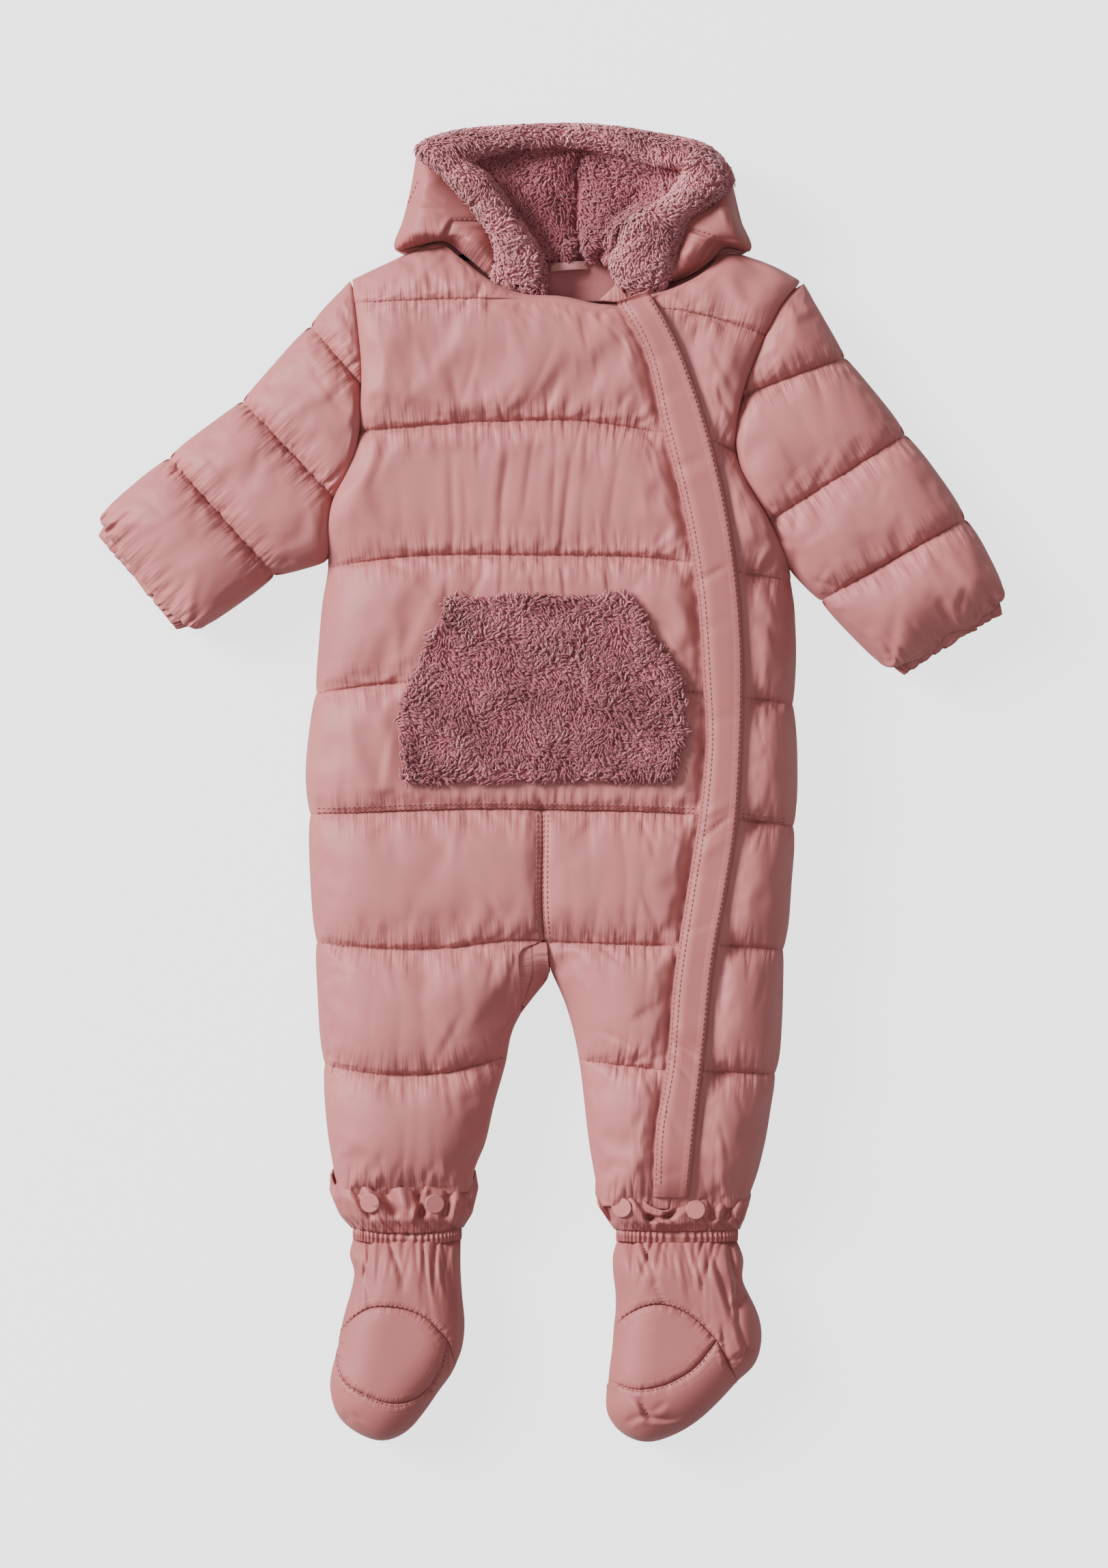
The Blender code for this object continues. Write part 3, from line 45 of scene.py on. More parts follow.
# ---------------------------------------------------------------- the table and the light
# The suit lies on a wide, matt, pale table that is lit a little from within. One big soft light
# stands at the upper left, weaker ones fill in from the right and from above, and the camera
# looks straight down from a long way up.
def shading(name):
    """A new material, and two functions for its nodes. add makes one, or takes the surface's own
    where kind is empty, and sets or links its inputs. ramp makes shades of (place, colour) stops."""
    paint = bpy.data.materials.new(name)
    paint.use_nodes = True
    nodes, links = paint.node_tree.nodes, paint.node_tree.links

    def add(kind, inputs, **settings):
        node = nodes.new("ShaderNode" + kind) if kind else nodes["Principled BSDF"]
        for key, value in settings.items():
            setattr(node, key, value)
        for key, value in inputs.items():
            if isinstance(value, bpy.types.NodeSocket):
                links.new(value, node.inputs[key])
            else:
                node.inputs[key].default_value = value
        return node.outputs

    def ramp(share, *stops):
        shades = nodes.new("ShaderNodeValToRGB")
        links.new(share, shades.inputs["Fac"])
        elements = shades.color_ramp.elements
        for element, (place, colour) in zip(elements, (stops[0], stops[-1])):
            element.position, element.color = place, (*colour, 1)
        for place, colour in stops[1:-1]:
            elements.new(place).color = (*colour, 1)
        return shades.outputs["Color"]

    return paint, add, ramp


TABLE_HALF = 6  # metres
corners = [(x * TABLE_HALF, y * TABLE_HALF, 0) for x, y in ((-1, -1), (1, -1), (1, 1), (-1, 1))]
table_top = bpy.data.meshes.new("table_top")
table_top.from_pydata(corners, [], [(0, 1, 2, 3)])
table = bpy.data.objects.new("table", table_top)
bpy.context.scene.collection.objects.link(table)
table_paint, add, _ = shading("table_paint")
seen = add("LightPath", {})["Is Camera Ray"]  # the table lights the suit less than it shows
glow = add("MapRange", {"To Min": 0.45, "To Max": 2.28, "Value": seen})["Result"]
add("", {"Base Color": (0.22, 0.22, 0.2195, 1), "Roughness": 0.85, "Emission Color": (1, 1, 0.995, 1),
         "Emission Strength": glow})
table_top.materials.append(table_paint)

LIGHTS = (  # name, place, size, watts
    ("window", (-4.7, 2.4, 3.4), 2.6, 1300),
    ("fill", (4.0, -1.5, 5.0), 4.0, 10),
    ("ceiling", (0, 0, 6.0), 4.0, 150),
)
for name, place, size, watts in LIGHTS:
    lamp = bpy.data.lights.new(name, "AREA")
    lamp.shape, lamp.size, lamp.energy = "DISK", size, watts
    light = bpy.data.objects.new(name, lamp)
    light.location = place
    light.rotation_euler = (Vector((0, 0, 0.03)) - Vector(place)).to_track_quat("-Z", "Y").to_euler()
    bpy.context.scene.collection.objects.link(light)
room = bpy.data.worlds.new("room")
room.use_nodes = True
room.node_tree.nodes["Background"].inputs["Color"].default_value = (1, 1, 1, 1)
room.node_tree.nodes["Background"].inputs["Strength"].default_value = 0.34
bpy.context.scene.world = room

CAMERA_HIGH, FRAME_HIGH = 4.0, 0.9643
camera_data = bpy.data.cameras.new("camera")
camera_data.sensor_fit, camera_data.sensor_height = "VERTICAL", 24.0
camera_data.lens = 24.0 * CAMERA_HIGH / FRAME_HIGH
camera = bpy.data.objects.new("camera", camera_data)
camera.location = (0.00105, 0, CAMERA_HIGH + 0.03)
bpy.context.scene.collection.objects.link(camera)
bpy.context.scene.camera = camera

# ---------------------------------------------------------------- the body's front panels
# Satin-like woven cloth over wadding, quilted across in channels: a wide main panel, and a
# narrow one on the far side of the zip. The cloth is gathered into each quilting line.
MM = 0.001
SPLIT = 24.0  # where front and back meet
SEAM_GAP = 0.4  # between two pieces that are sewn together
CLOTH = 2.0  # what is left of a padded wall where it is stitched down
FRONT_RISE = 30.0  # how far the front puffs up from the plane where it meets the back
ROUND_REACH = 46.0  # how far in from the outline it has risen
QUILT_DROP = 11.0  # how deep a quilting line sinks below the puffs beside it
QUILT_STEEP = 0.16  # and no deeper than this share of its channel's depth
SEAM_DROP, SEAM_REACH = 9.0, 15.0  # how deep a joining seam sinks, and how far beside it
SCALLOP = 2.6  # how far the outline is drawn in at a quilting line
NECK_DROP, NECK_REACH = 11.0, 20  # how deep the front sinks at the neckline, and how far below it
FLAP_DROP = 3.6  # how deep it sinks along the zip flap's stitched edge
FLAP_BESIDE, FLAP_UNDER = 9, 8  # and how far beside the flap and under it
FLAT_SHARE = 0.74  # the puff that is left under the pocket and the zip flap
HALF_GAP = -0.06  # the cloth meets at its seams

NECK_AND_SHOULDERS = [
    (-124, 310), (-105, 319), (-84, 328), (-67, 331), (-55, 322), (-37, 308), (-20, 301),
    (5, 299), (38, 294), (50, 297), (60, 300), (76, 305), (95, 316), (105, 326), (122, 324),
    (138, 318), (157, 307),
]
YOKE_LINE = [(-124, 295), (-90, 296), (-38, 297), (0, 296), (40, 290), (68, 291), (100, 285), (131, 275)]
CHEST_LINE = [(-119, 216), (-38, 222), (22, 222), (66, 215), (98, 210), (117, 202)]
BELLY_LINE = [(-139, 133), (-90, 139), (-10, 140), (82, 136), (113, 130), (146, 125)]
POCKET_LINE = [(-145, 56), (-105, 61), (0, 62), (79, 57), (116, 53), (150, 49)]
WAIST_LINE = [(-152, -19), (-31, -15.5), (0, -16), (87, -19), (116, -22), (150, -26)]
THIGH_LINE = [
    (-147, -97), (-106, -101), (-70, -101), (-20, -96), (3, -97), (80, -99), (101, -99), (145, -102),
]
KNEE_LINE = [
    (-142, -172), (-106, -178), (-65, -177), (-28, -168), (19, -170), (68, -175), (90, -176), (138, -178),
]
HEM_LINE = [(-135, -246), (-90, -248), (-50, -246), (-20, -247), (30, -252), (80, -254), (125, -252)]
BODY_LINES = (NECK_AND_SHOULDERS, YOKE_LINE, CHEST_LINE, BELLY_LINE, POCKET_LINE, WAIST_LINE,
              THIGH_LINE, KNEE_LINE, HEM_LINE)
WAIST, HEM = 5, 8
LEFT_EDGE = [
    (311, -123), (242, -117), (194, -124), (175, -134), (137, -138), (117, -141), (79, -144.5),
    (41, -149), (3, -152), (-19, -151), (-60, -149), (-97, -147), (-123, -145), (-160, -143),
    (-186, -141), (-217, -138), (-238, -135), (-247, -134),
]
RIGHT_EDGE = [
    (308, 152), (299, 144), (275, 131.5), (247, 119), (192, 116), (161, 133), (132, 146),
    (92, 150), (54, 150), (16, 151), (-9, 151), (-34, 150), (-60, 147.5), (-85, 146),
    (-114, 143), (-148, 141.5), (-173, 140), (-198, 135), (-223, 130.5), (-243, 125), (-253, 120),
]
ARMPIT_LEFT_Y, ARMPIT_RIGHT_Y, CROTCH_Y, GUSSET_END_Y = 137, 132, -118, -137
CENTRE_SEAM = [(-16, -6), (-99, -4.5), (-118, -1.5)]
INSEAM_LEFT = [
    (-99, -4.5), (-118, -2), (-127, -8), (-137, -16.5), (-148, -23), (-173, -29), (-198, -36),
    (-223, -42), (-238, -48.5), (-247, -50),
]
GUSSET_SEAM = [(-96, -5), (-101.5, -19.2), (-103, -19.8), (-118, -20), (-137, -19.5), (-148, -23)]
INSEAM_RIGHT = [
    (-99, -4), (-118, 0.5), (-123, 3), (-135, 8), (-148, 12), (-173, 17), (-198, 20),
    (-223, 23), (-243, 27), (-253, 30),
]
FLAP_STITCH = [
    (296, 38), (271, 52.5), (219, 66.5), (169, 79), (119, 87.5), (63, 91.5), (31, 93),
    (-15, 89.5), (-64, 82), (-121, 73.5), (-174, 69), (-209, 63), (-253, 61),
]
FLAP_FREE = [
    (301, 59), (275, 74), (244, 86.5), (191, 102), (141, 111.5), (88, 116.5), (62, 117),
    (21, 116), (-25, 113), (-64, 107), (-101, 100), (-164, 93), (-202, 88.5), (-253, 83.5),
]
POCKET_LEFT = [(114, -63), (80, -79), (44, -94.5), (20, -93), (1, -91)]
POCKET_RIGHT = [(116, 46.6), (90, 63), (57, 80), (25, 79), (3, 73)]
SLEEVE_ROWS = ("line", "outer_x", "outer_y", "inner_x", "inner_y")
SLEEVE_LEFT = [
    (0, -124.4, 309.8, -123, 304), (1, -150, 283, -117, 244), (2, -192, 237, -134, 175),
    (3, -237, 202, -170, 127), (4, -281, 165, -220, 92),
]
SLEEVE_RIGHT = [
    (0, 155, 308, 148.5, 303.5), (1, 182, 263, 119, 238), (2, 219, 216, 133, 161),
    (3, 256, 164, 164, 112), (4, 281.5, 116, 206, 69),
]
SLEEVE_ARMPIT = 2.4  # on the same count of lines, where the armhole ends


def through(points):
    """A smooth function through (at, value) points, level beyond its ends."""
    at, value = np.array(sorted(points), float).T
    slope = np.gradient(value, at)

    def curve(q):
        q = np.asarray(q, float)
        i = np.clip(np.searchsorted(at, q) - 1, 0, len(at) - 2)
        step = at[i + 1] - at[i]
        t = np.clip((q - at[i]) / step, 0, 1)
        return (value[i] * (1 + 2 * t) * (1 - t) ** 2 + slope[i] * step * t * (1 - t) ** 2
                + value[i + 1] * t**2 * (3 - 2 * t) - slope[i + 1] * step * t**2 * (1 - t))

    return curve


def path(points, count):
    """Points spaced evenly along a smooth line through the given ones."""
    points = np.array(points, float)
    run = np.concatenate([[0], np.cumsum(np.linalg.norm(np.diff(points, axis=0), axis=1))])
    axes = [through(list(zip(run, column))) for column in points.T]
    fine = np.stack([axis(np.linspace(0, run[-1], 12 * count)) for axis in axes], axis=1)
    along = np.concatenate([[0], np.cumsum(np.linalg.norm(np.diff(fine, axis=0), axis=1))])
    at = np.linspace(0, along[-1], count)
    return np.stack([np.interp(at, along, column) for column in fine.T], axis=1)


def beside_line(points, line):
    """Where each point lies beside a line: how far along it, how far off, and on which side."""
    shape = np.shape(points)[:-1]
    points, line = np.asarray(points, float)[..., :2].reshape(-1, 2), np.asarray(line, float)[:, :2]
    start, run = line[:-1], np.diff(line, axis=0)
    length = np.linalg.norm(run, axis=1)
    upto = np.concatenate([[0], np.cumsum(length)[:-1]])
    along, gap, side = (np.empty(len(points)) for _ in range(3))
    for first in range(0, len(points), 8000):
        part = points[first:first + 8000]
        rel = part[:, None] - start
        t = np.clip((rel * run).sum(-1) / np.maximum(length**2, 1e-9), 0, 1)
        off = np.linalg.norm(rel - t[..., None] * run, axis=-1)
        i, each = off.argmin(1), np.arange(len(part))
        along[first:first + 8000] = upto[i] + t[each, i] * length[i]
        gap[first:first + 8000] = off[each, i]
        cross = run[i, 0] * rel[each, i, 1] - run[i, 1] * rel[each, i, 0]
        side[first:first + 8000] = np.where(cross < 0, -1, 1)
    return along.reshape(shape), gap.reshape(shape), side.reshape(shape)


def distance(points, line):
    return beside_line(points, line)[1]


def round_over(share):
    """The height of a quarter round, from 0 at share 0 to 1 at share 1 and beyond."""
    return np.sqrt(1 - (1 - np.clip(share, 0, 1)) ** 2)


def puff(share):
    """The outer shape across a quilted channel, from 0 at its two lines to 1 between them."""
    return (1 - np.abs(2 * share - 1) ** 2.8) ** 0.58


LINES = [through(line) for line in BODY_LINES]
stitch_x, free_x, centre_x = through(FLAP_STITCH), through(FLAP_FREE), through(CENTRE_SEAM)
inseam_left_x, inseam_right_x, gusset_x = through(INSEAM_LEFT), through(INSEAM_RIGHT), through(GUSSET_SEAM)


def depth_across(levels, k, share):
    """The depth that decides how far a channel is drawn in, alike on both sides of each line."""
    deep = levels[:-1] - levels[1:]
    at_line = np.concatenate([deep[:1], np.minimum(deep[:-1], deep[1:]), deep[-1:]])
    upper = np.take_along_axis(at_line, k[None], 0)[0]
    return upper * (1 - share) + np.take_along_axis(at_line, k[None] + 1, 0)[0] * share


def channel(x, y):
    """How far down its quilted channel each point is, from 0 to 1, and how deep it counts as."""
    x, y = np.broadcast_arrays(np.asarray(x, float), np.asarray(y, float))
    lines = np.stack([line(x) for line in LINES])
    lines[1] = np.minimum(lines[1], lines[0] - 2.5)
    k = np.clip((y[None] < lines).sum(0) - 1, 0, HEM - 1)
    upper = np.take_along_axis(lines, k[None], 0)[0]
    lower = np.take_along_axis(lines, k[None] + 1, 0)[0]
    share = np.clip((upper - y) / (upper - lower), 0, 1)
    return share, depth_across(lines, k, share)


def scalloped(table_of_edge, armpit):
    """An edge that each quilting line pulls in a little below the armpit."""
    base = through(table_of_edge)

    def edge(y):
        x = base(y)
        free = np.clip((armpit - np.asarray(y, float)) / 15, 0, 1)
        return x - np.sign(x) * SCALLOP * free * (1 - puff(channel(x, y)[0]))

    return edge


left_x, right_x = scalloped(LEFT_EDGE, ARMPIT_LEFT_Y), scalloped(RIGHT_EDGE, ARMPIT_RIGHT_Y)


def zip_x(y):
    return (stitch_x(y) + free_x(y)) / 2


def sleeve_ends(rows, body_edge, side):
    """Outer and inner end of a sleeve's section at any count of lines."""
    columns = {name: [row[i] for row in rows] for i, name in enumerate(SLEEVE_ROWS)}
    ends = {name: through(list(zip(columns["line"], columns[name]))) for name in SLEEVE_ROWS[1:]}
    pit_y = ARMPIT_LEFT_Y if side < 0 else ARMPIT_RIGHT_Y
    armhole_y = through([(row[0], row[4]) for row in rows[:3]] + [(SLEEVE_ARMPIT, pit_y)])

    def at(line):
        share = puff(np.clip(line % 1.0, 0, 1))
        outer = np.array([ends["outer_x"](line), ends["outer_y"](line)])
        if line <= SLEEVE_ARMPIT:
            y = float(armhole_y(line))
            inner = np.array([float(body_edge(y)) + side * HALF_GAP, y])
        else:
            start = np.array([float(body_edge(pit_y)) + side * HALF_GAP, float(pit_y)])
            bends = (start, rows[3][3:5], rows[4][3:5])
            inner = np.array([np.interp(line, (SLEEVE_ARMPIT, 3, 4), [b[i] for b in bends]) for i in (0, 1)])
        across = (inner - outer) / np.linalg.norm(inner - outer)
        pull = SCALLOP * (1 - share) if 0.2 < line < 3.9 else 0.0
        return outer + across * pull, inner - across * pull * (line > SLEEVE_ARMPIT + 0.3)

    return at


left_sleeve, right_sleeve = sleeve_ends(SLEEVE_LEFT, left_x, -1), sleeve_ends(SLEEVE_RIGHT, right_x, 1)


def beyond(a, b, reach, towards):
    """A line a to b moved out, which an edge that is drawn in rounds towards."""
    out = np.array(towards, float) / np.linalg.norm(towards)
    return [tuple(np.array(a) + out * reach), tuple(np.array(b) + out * reach)]


# the suit's free outline, from the left of the neck round to its right
SLEEVE_STEPS = np.linspace(0, 4, 33)
left_top, left_under = zip(*[left_sleeve(s) for s in SLEEVE_STEPS])
right_top, right_under = zip(*[right_sleeve(s) for s in SLEEVE_STEPS])
pit = int(np.searchsorted(SLEEVE_STEPS, SLEEVE_ARMPIT))
leg_down = np.linspace(CROTCH_Y, -247, 14)
OUTLINE = (
    [(x, float(LINES[0](x))) for x in (-67, -84, -96, -105, -115)]
    + [tuple(p) for p in left_top]
    + beyond(left_top[-1], left_under[-1], 5.0, (-0.78, -0.62))
    + [tuple(p) for p in left_under[:pit:-1]]
    + [(float(left_x(y)), y) for y in np.linspace(ARMPIT_LEFT_Y, -247, 40)]
    + beyond((-134, -247), (-50, -247), 6.0, (0, -1))
    + [(float(inseam_left_x(y)), y) for y in leg_down[::-1]]
    + [(float(inseam_right_x(y)), y) for y in leg_down]
    + beyond((30, -253), (120, -253), 6.0, (0, -1))
    + [(float(right_x(y)), y) for y in np.linspace(-253, ARMPIT_RIGHT_Y, 40)]
    + [tuple(p) for p in right_under[pit + 1:]]
    + beyond(right_under[-1], right_top[-1], 5.0, (0.53, -0.85))
    + [tuple(p) for p in right_top[::-1]]
    + [(x, float(LINES[0](x))) for x in (150, 138, 128, 122, 113, 105)]
)
NECKLINE = [(x, float(LINES[0](x))) for x in np.linspace(-60, 100, 24)]
ARMHOLE_LEFT = [(float(left_x(y)), y) for y in np.linspace(312, ARMPIT_LEFT_Y, 24)]
ARMHOLE_RIGHT = [(float(right_x(y)), y) for y in np.linspace(308, ARMPIT_RIGHT_Y, 24)]
CENTRE = [(float(centre_x(y)), y) for y in np.linspace(-16, CROTCH_Y, 8)]


def in_pocket(points):
    """1 under the pocket, falling to 0 within a finger's breadth of it."""
    x, y = points[..., 0], points[..., 1]
    inside = np.minimum.reduce([x - through(POCKET_LEFT)(y), through(POCKET_RIGHT)(y) - x, 118 - y, y + 1])
    return np.clip((inside + 8) / 12, 0, 1)


def under_flap(points):
    """1 under the zip flap, falling to 0 beside it."""
    x, y = points[..., 0], points[..., 1]
    near = np.clip(1 + np.minimum((x - stitch_x(y)) / 10, (free_x(y) - x) / 12), 0, 1)
    return near * near * (3 - 2 * near)


def nearest(points, lines):
    """How far each point is from the nearest of some lines."""
    return np.minimum.reduce([distance(points, line) for line in lines])


def body_height(points, share, depth):
    """The outer height of the front over points of the body."""
    rise = round_over(distance(points, OUTLINE) / ROUND_REACH)
    flat = np.maximum(in_pocket(points), under_flap(points))
    shape = puff(share) * (1 - flat) + FLAT_SHARE * flat
    drop = np.minimum(QUILT_DROP, QUILT_STEEP * depth) * (1 - shape)
    seams = nearest(points, (ARMHOLE_LEFT, ARMHOLE_RIGHT))
    drop = drop + SEAM_DROP * (1 - round_over(seams / SEAM_REACH))
    drop = drop + 0.6 * SEAM_DROP * (1 - round_over(distance(points, CENTRE) / SEAM_REACH))
    drop = drop + NECK_DROP * (1 - round_over(distance(points, NECKLINE) / NECK_REACH))
    beside = stitch_x(points[..., 1]) - points[..., 0]
    drop = drop + FLAP_DROP * np.where(
        beside > 0, 1 - round_over(beside / FLAP_BESIDE), np.clip(1 + beside / FLAP_UNDER, 0, 1))
    return SPLIT + SEAM_GAP + CLOTH + rise * (FRONT_RISE - drop)


def body_points(lines, rows, stretches):
    """Points over part of the body, with each point's share down its channel and the channel's
    depth. rows counts quilting lines, and each stretch is (left edge, right edge, shares)."""
    rows = np.asarray(rows, float)
    k = np.minimum(rows.astype(int), len(lines) - 2)[:, None]
    t = rows[:, None] - k
    grids = []
    for left, right, across in stretches:
        x = np.zeros((len(rows), len(across)))
        for _ in range(14):
            levels = np.stack([line(x) for line in lines])
            levels[1] = np.minimum(levels[1], levels[0] - 2.5)
            upper = np.take_along_axis(levels, np.broadcast_to(k, x.shape)[None], 0)[0]
            lower = np.take_along_axis(levels, np.broadcast_to(k + 1, x.shape)[None], 0)[0]
            y = upper + (lower - upper) * t
            x = left(y) * (1 - across) + right(y) * across
        t_all = np.broadcast_to(t, x.shape)
        depth = depth_across(levels, np.broadcast_to(k, x.shape), t_all)
        grids.append(np.stack([x, y, t_all, depth], axis=-1))
    grid = np.concatenate(grids, axis=1)
    return grid[..., :2], grid[..., 2], grid[..., 3]


def eased(count, start=True, end=True):
    """Shares from 0 to 1 that lie closer together towards a start or an end that rounds away."""
    t = np.linspace(0, 1, count)
    if start and end:
        return t - 0.13 * np.sin(2 * np.pi * t)
    return t - 0.22 * np.sin(np.pi * t) * t if end else t + 0.22 * np.sin(np.pi * t) * (1 - t) if start else t


def row_counts(first, last, each):
    return np.concatenate([k + eased(each + 1)[:-1] for k in range(first, last)] + [[last]])


def quads(rows, columns, start=0, closed=False):
    """The faces of a grid of points, joined round where it is closed."""
    across = np.arange(columns if closed else columns - 1)
    a = start + np.arange(rows - 1)[:, None] * columns + across
    b = start + np.arange(rows - 1)[:, None] * columns + (across + 1) % columns
    return np.stack([a, a + columns, b + columns, b], axis=-1).reshape(-1, 4).tolist()


def rim(rows, columns):
    """The grid's border points in order round it."""
    return (list(range(columns)) + [r * columns + columns - 1 for r in range(1, rows)]
            + [(rows - 1) * columns + c for c in range(columns - 2, -1, -1)]
            + [r * columns for r in range(rows - 2, 0, -1)])


def new_piece(name, points, faces, cloth):
    """An object in millimetres, with its faces turned outwards."""
    mesh = bpy.data.meshes.new(name)
    mesh.from_pydata((np.asarray(points, float) * MM).tolist(), [], faces)
    shape = bmesh.new()
    shape.from_mesh(mesh)
    bmesh.ops.remove_doubles(shape, verts=shape.verts, dist=2e-6)
    bmesh.ops.recalc_face_normals(shape, faces=shape.faces)
    shape.to_mesh(mesh)
    shape.free()
    mesh.materials.append(cloth)
    mesh.shade_smooth()
    piece = bpy.data.objects.new(name, mesh)
    bpy.context.scene.collection.objects.link(piece)
    return piece


def raised(flat, heights):
    """The points of a plan, lifted to their heights."""
    return np.concatenate([flat, heights[..., None]], axis=2)


def padded_skin(name, grid, cloth):
    """The outer side of a stuffed panel, open underneath until it is closed."""
    return new_piece(name, grid.reshape(-1, 3), quads(*grid.shape[:2]), cloth)


def close_under(piece, floor):
    """Turns a panel's edge down and closes it with a plain inner face at one height."""
    shape = bmesh.new()
    shape.from_mesh(piece.data)
    turned = bmesh.ops.extrude_edge_only(shape, edges=[edge for edge in shape.edges if edge.is_boundary])
    for vertex in turned["geom"]:
        if isinstance(vertex, bmesh.types.BMVert):
            vertex.co.z = floor * MM
    bmesh.ops.holes_fill(shape, edges=[edge for edge in shape.edges if edge.is_boundary], sides=0)
    bmesh.ops.recalc_face_normals(shape, faces=shape.faces)
    shape.to_mesh(piece.data)
    shape.free()
    piece.data.shade_smooth()


def places(piece):
    """The piece's points in millimetres."""
    flat = np.empty(3 * len(piece.data.vertices))
    piece.data.vertices.foreach_get("co", flat)
    return flat.reshape(-1, 3) / MM


def move_to(piece, points):
    piece.data.vertices.foreach_set("co", (points * MM).ravel())
    piece.data.update()


def apply(piece, modifier):
    bpy.ops.object.select_all(action="DESELECT")
    piece.select_set(True)
    bpy.context.view_layer.objects.active = piece
    bpy.ops.object.modifier_apply(modifier=modifier.name)


def plump(piece, held, slack=0.03, cap=2.4, pressure=4.0):
    """Fills a panel with wadding: its cloth, cut a little long, swells between the stitches that
    hold it. held is how firmly each point is held, from 0 to 1, and cap the most it may move."""
    before = places(piece)
    group = piece.vertex_groups.new(name="stitched")
    firm = held(before)
    for i, weight in enumerate(firm):
        group.add([i], float(weight), "REPLACE")
    cloth = piece.modifiers.new("wadding", "CLOTH")
    cloth.settings.quality = 5
    cloth.settings.mass = 0.25
    cloth.settings.tension_stiffness = cloth.settings.compression_stiffness = 12
    cloth.settings.shear_stiffness = 4
    cloth.settings.bending_stiffness = 0.5
    cloth.settings.use_pressure = True
    cloth.settings.uniform_pressure_force = pressure
    cloth.settings.vertex_group_mass = "stitched"
    cloth.settings.shrink_min = -slack
    cloth.settings.effector_weights.gravity = 0
    cloth.collision_settings.use_collision = False
    for moment in range(1, 21):
        bpy.context.scene.frame_set(moment)
    swelled = piece.evaluated_get(bpy.context.evaluated_depsgraph_get())
    flat = np.empty(3 * len(before))
    swelled.data.vertices.foreach_get("co", flat)
    moved = flat.reshape(-1, 3) / MM - before
    size = np.linalg.norm(moved, axis=1, keepdims=True)
    moved *= np.minimum(1, cap * np.tanh(size / cap) / np.maximum(size, 1e-6))
    piece.modifiers.remove(cloth)
    bpy.context.scene.frame_set(1)
    move_to(piece, before + moved * (1 - firm[:, None]))


def refine(piece, levels=1):
    smooth = piece.modifiers.new("smooth", "SUBSURF")
    smooth.levels = smooth.render_levels = levels
    smooth.boundary_smooth = "PRESERVE_CORNERS"
    apply(piece, smooth)


def pleats(along, near, seed, spacing, deep, reach, leans=0.13):
    """Small uneven pleats where cloth is gathered into stitches, as a height to add."""
    dice = np.random.default_rng(seed)
    add = np.zeros_like(along)
    if not len(along):
        return add
    at, end = along.min() - spacing, along.max() + spacing
    while at < end:
        at += spacing * dice.uniform(0.45, 1.6)
        lean, length = dice.normal(0, leans), reach * dice.uniform(0.35, 1.9)
        wide, drop = spacing * dice.uniform(0.2, 0.36), deep * dice.uniform(0.35, 1.6)
        close = np.abs(along - at - lean * near) < 3.2 * wide
        add[close] -= drop * np.exp(-np.abs((along - at - lean * near)[close] / wide) ** 1.4
                                    - (near[close] / length) ** 2)
    return add


def ripple(piece, floor, seams, spacing, deep, reach, seed, leans=0.13):
    """Pleats on both sides of each seam. Returns how near each point is to one, and how far along."""
    points = places(piece)
    add = np.zeros(len(points))
    near_all, along_all = np.full(len(points), 60.0), np.zeros(len(points))
    for number, seam in enumerate(seams):
        along, near, side = beside_line(points, seam)
        for way in (-1, 1):
            pick = (side == way) & (near < 2.6 * reach)
            draw = seed * 97 + number * 7 + way
            add[pick] += pleats(along[pick], near[pick], draw, spacing, deep, reach, leans)
        closer = near < near_all
        near_all[closer], along_all[closer] = near[closer], along[closer] + 400 * number
    points[:, 2] += add * np.clip((points[:, 2] - floor - 2.5) / 12, 0, 1)
    move_to(piece, points)
    return near_all, along_all


def gather(piece, floor, seams, *, seed, spacing=4.4, deep=1.0, reach=8.5, fades=1.0):
    """Gathers the outer side of a panel into its seams, and keeps how near each point is to one."""
    near_all, along_all = ripple(piece, floor, seams, spacing, deep, reach, seed)
    mesh = piece.data
    mark = mesh.attributes.new("near_seam", "FLOAT", "POINT")
    mark.data.foreach_set("value", near_all * MM * fades)
    corner = np.empty(len(mesh.loops), int)
    mesh.loops.foreach_get("vertex_index", corner)
    layout = mesh.uv_layers.new(name="cloth")
    layout.data.foreach_set("uv", (np.stack([along_all, near_all], 1) * MM)[corner].ravel())


def fold(piece, floor, folds):
    """Soft folds from a list: rows of (x1, y1, x2, y2, half width, height)."""
    points = places(piece)
    add = np.zeros(len(points))
    for x1, y1, x2, y2, wide, high in folds:
        run = np.array((x2 - x1, y2 - y1), float)
        rel = points[:, :2] - (x1, y1)
        t = (rel @ run) / (run @ run)
        off = (rel[:, 0] * run[1] - rel[:, 1] * run[0]) / np.linalg.norm(run)
        off = off + 0.035 * np.linalg.norm(run) * np.sin(np.pi * np.clip(t, 0, 1)) * math.sin(x1 * 1.7 + y1)
        shape = np.exp(-np.sqrt((off / wide) ** 2 + 0.03)) - 0.4 * np.exp(-((off / wide - 1.7) ** 2) / 1.6)
        add += high * shape * np.sin(np.pi * np.clip(t, 0, 1)) ** 0.8
    points[:, 2] += add * np.clip((points[:, 2] - floor - 2.5) / 12, 0, 1)
    move_to(piece, points)


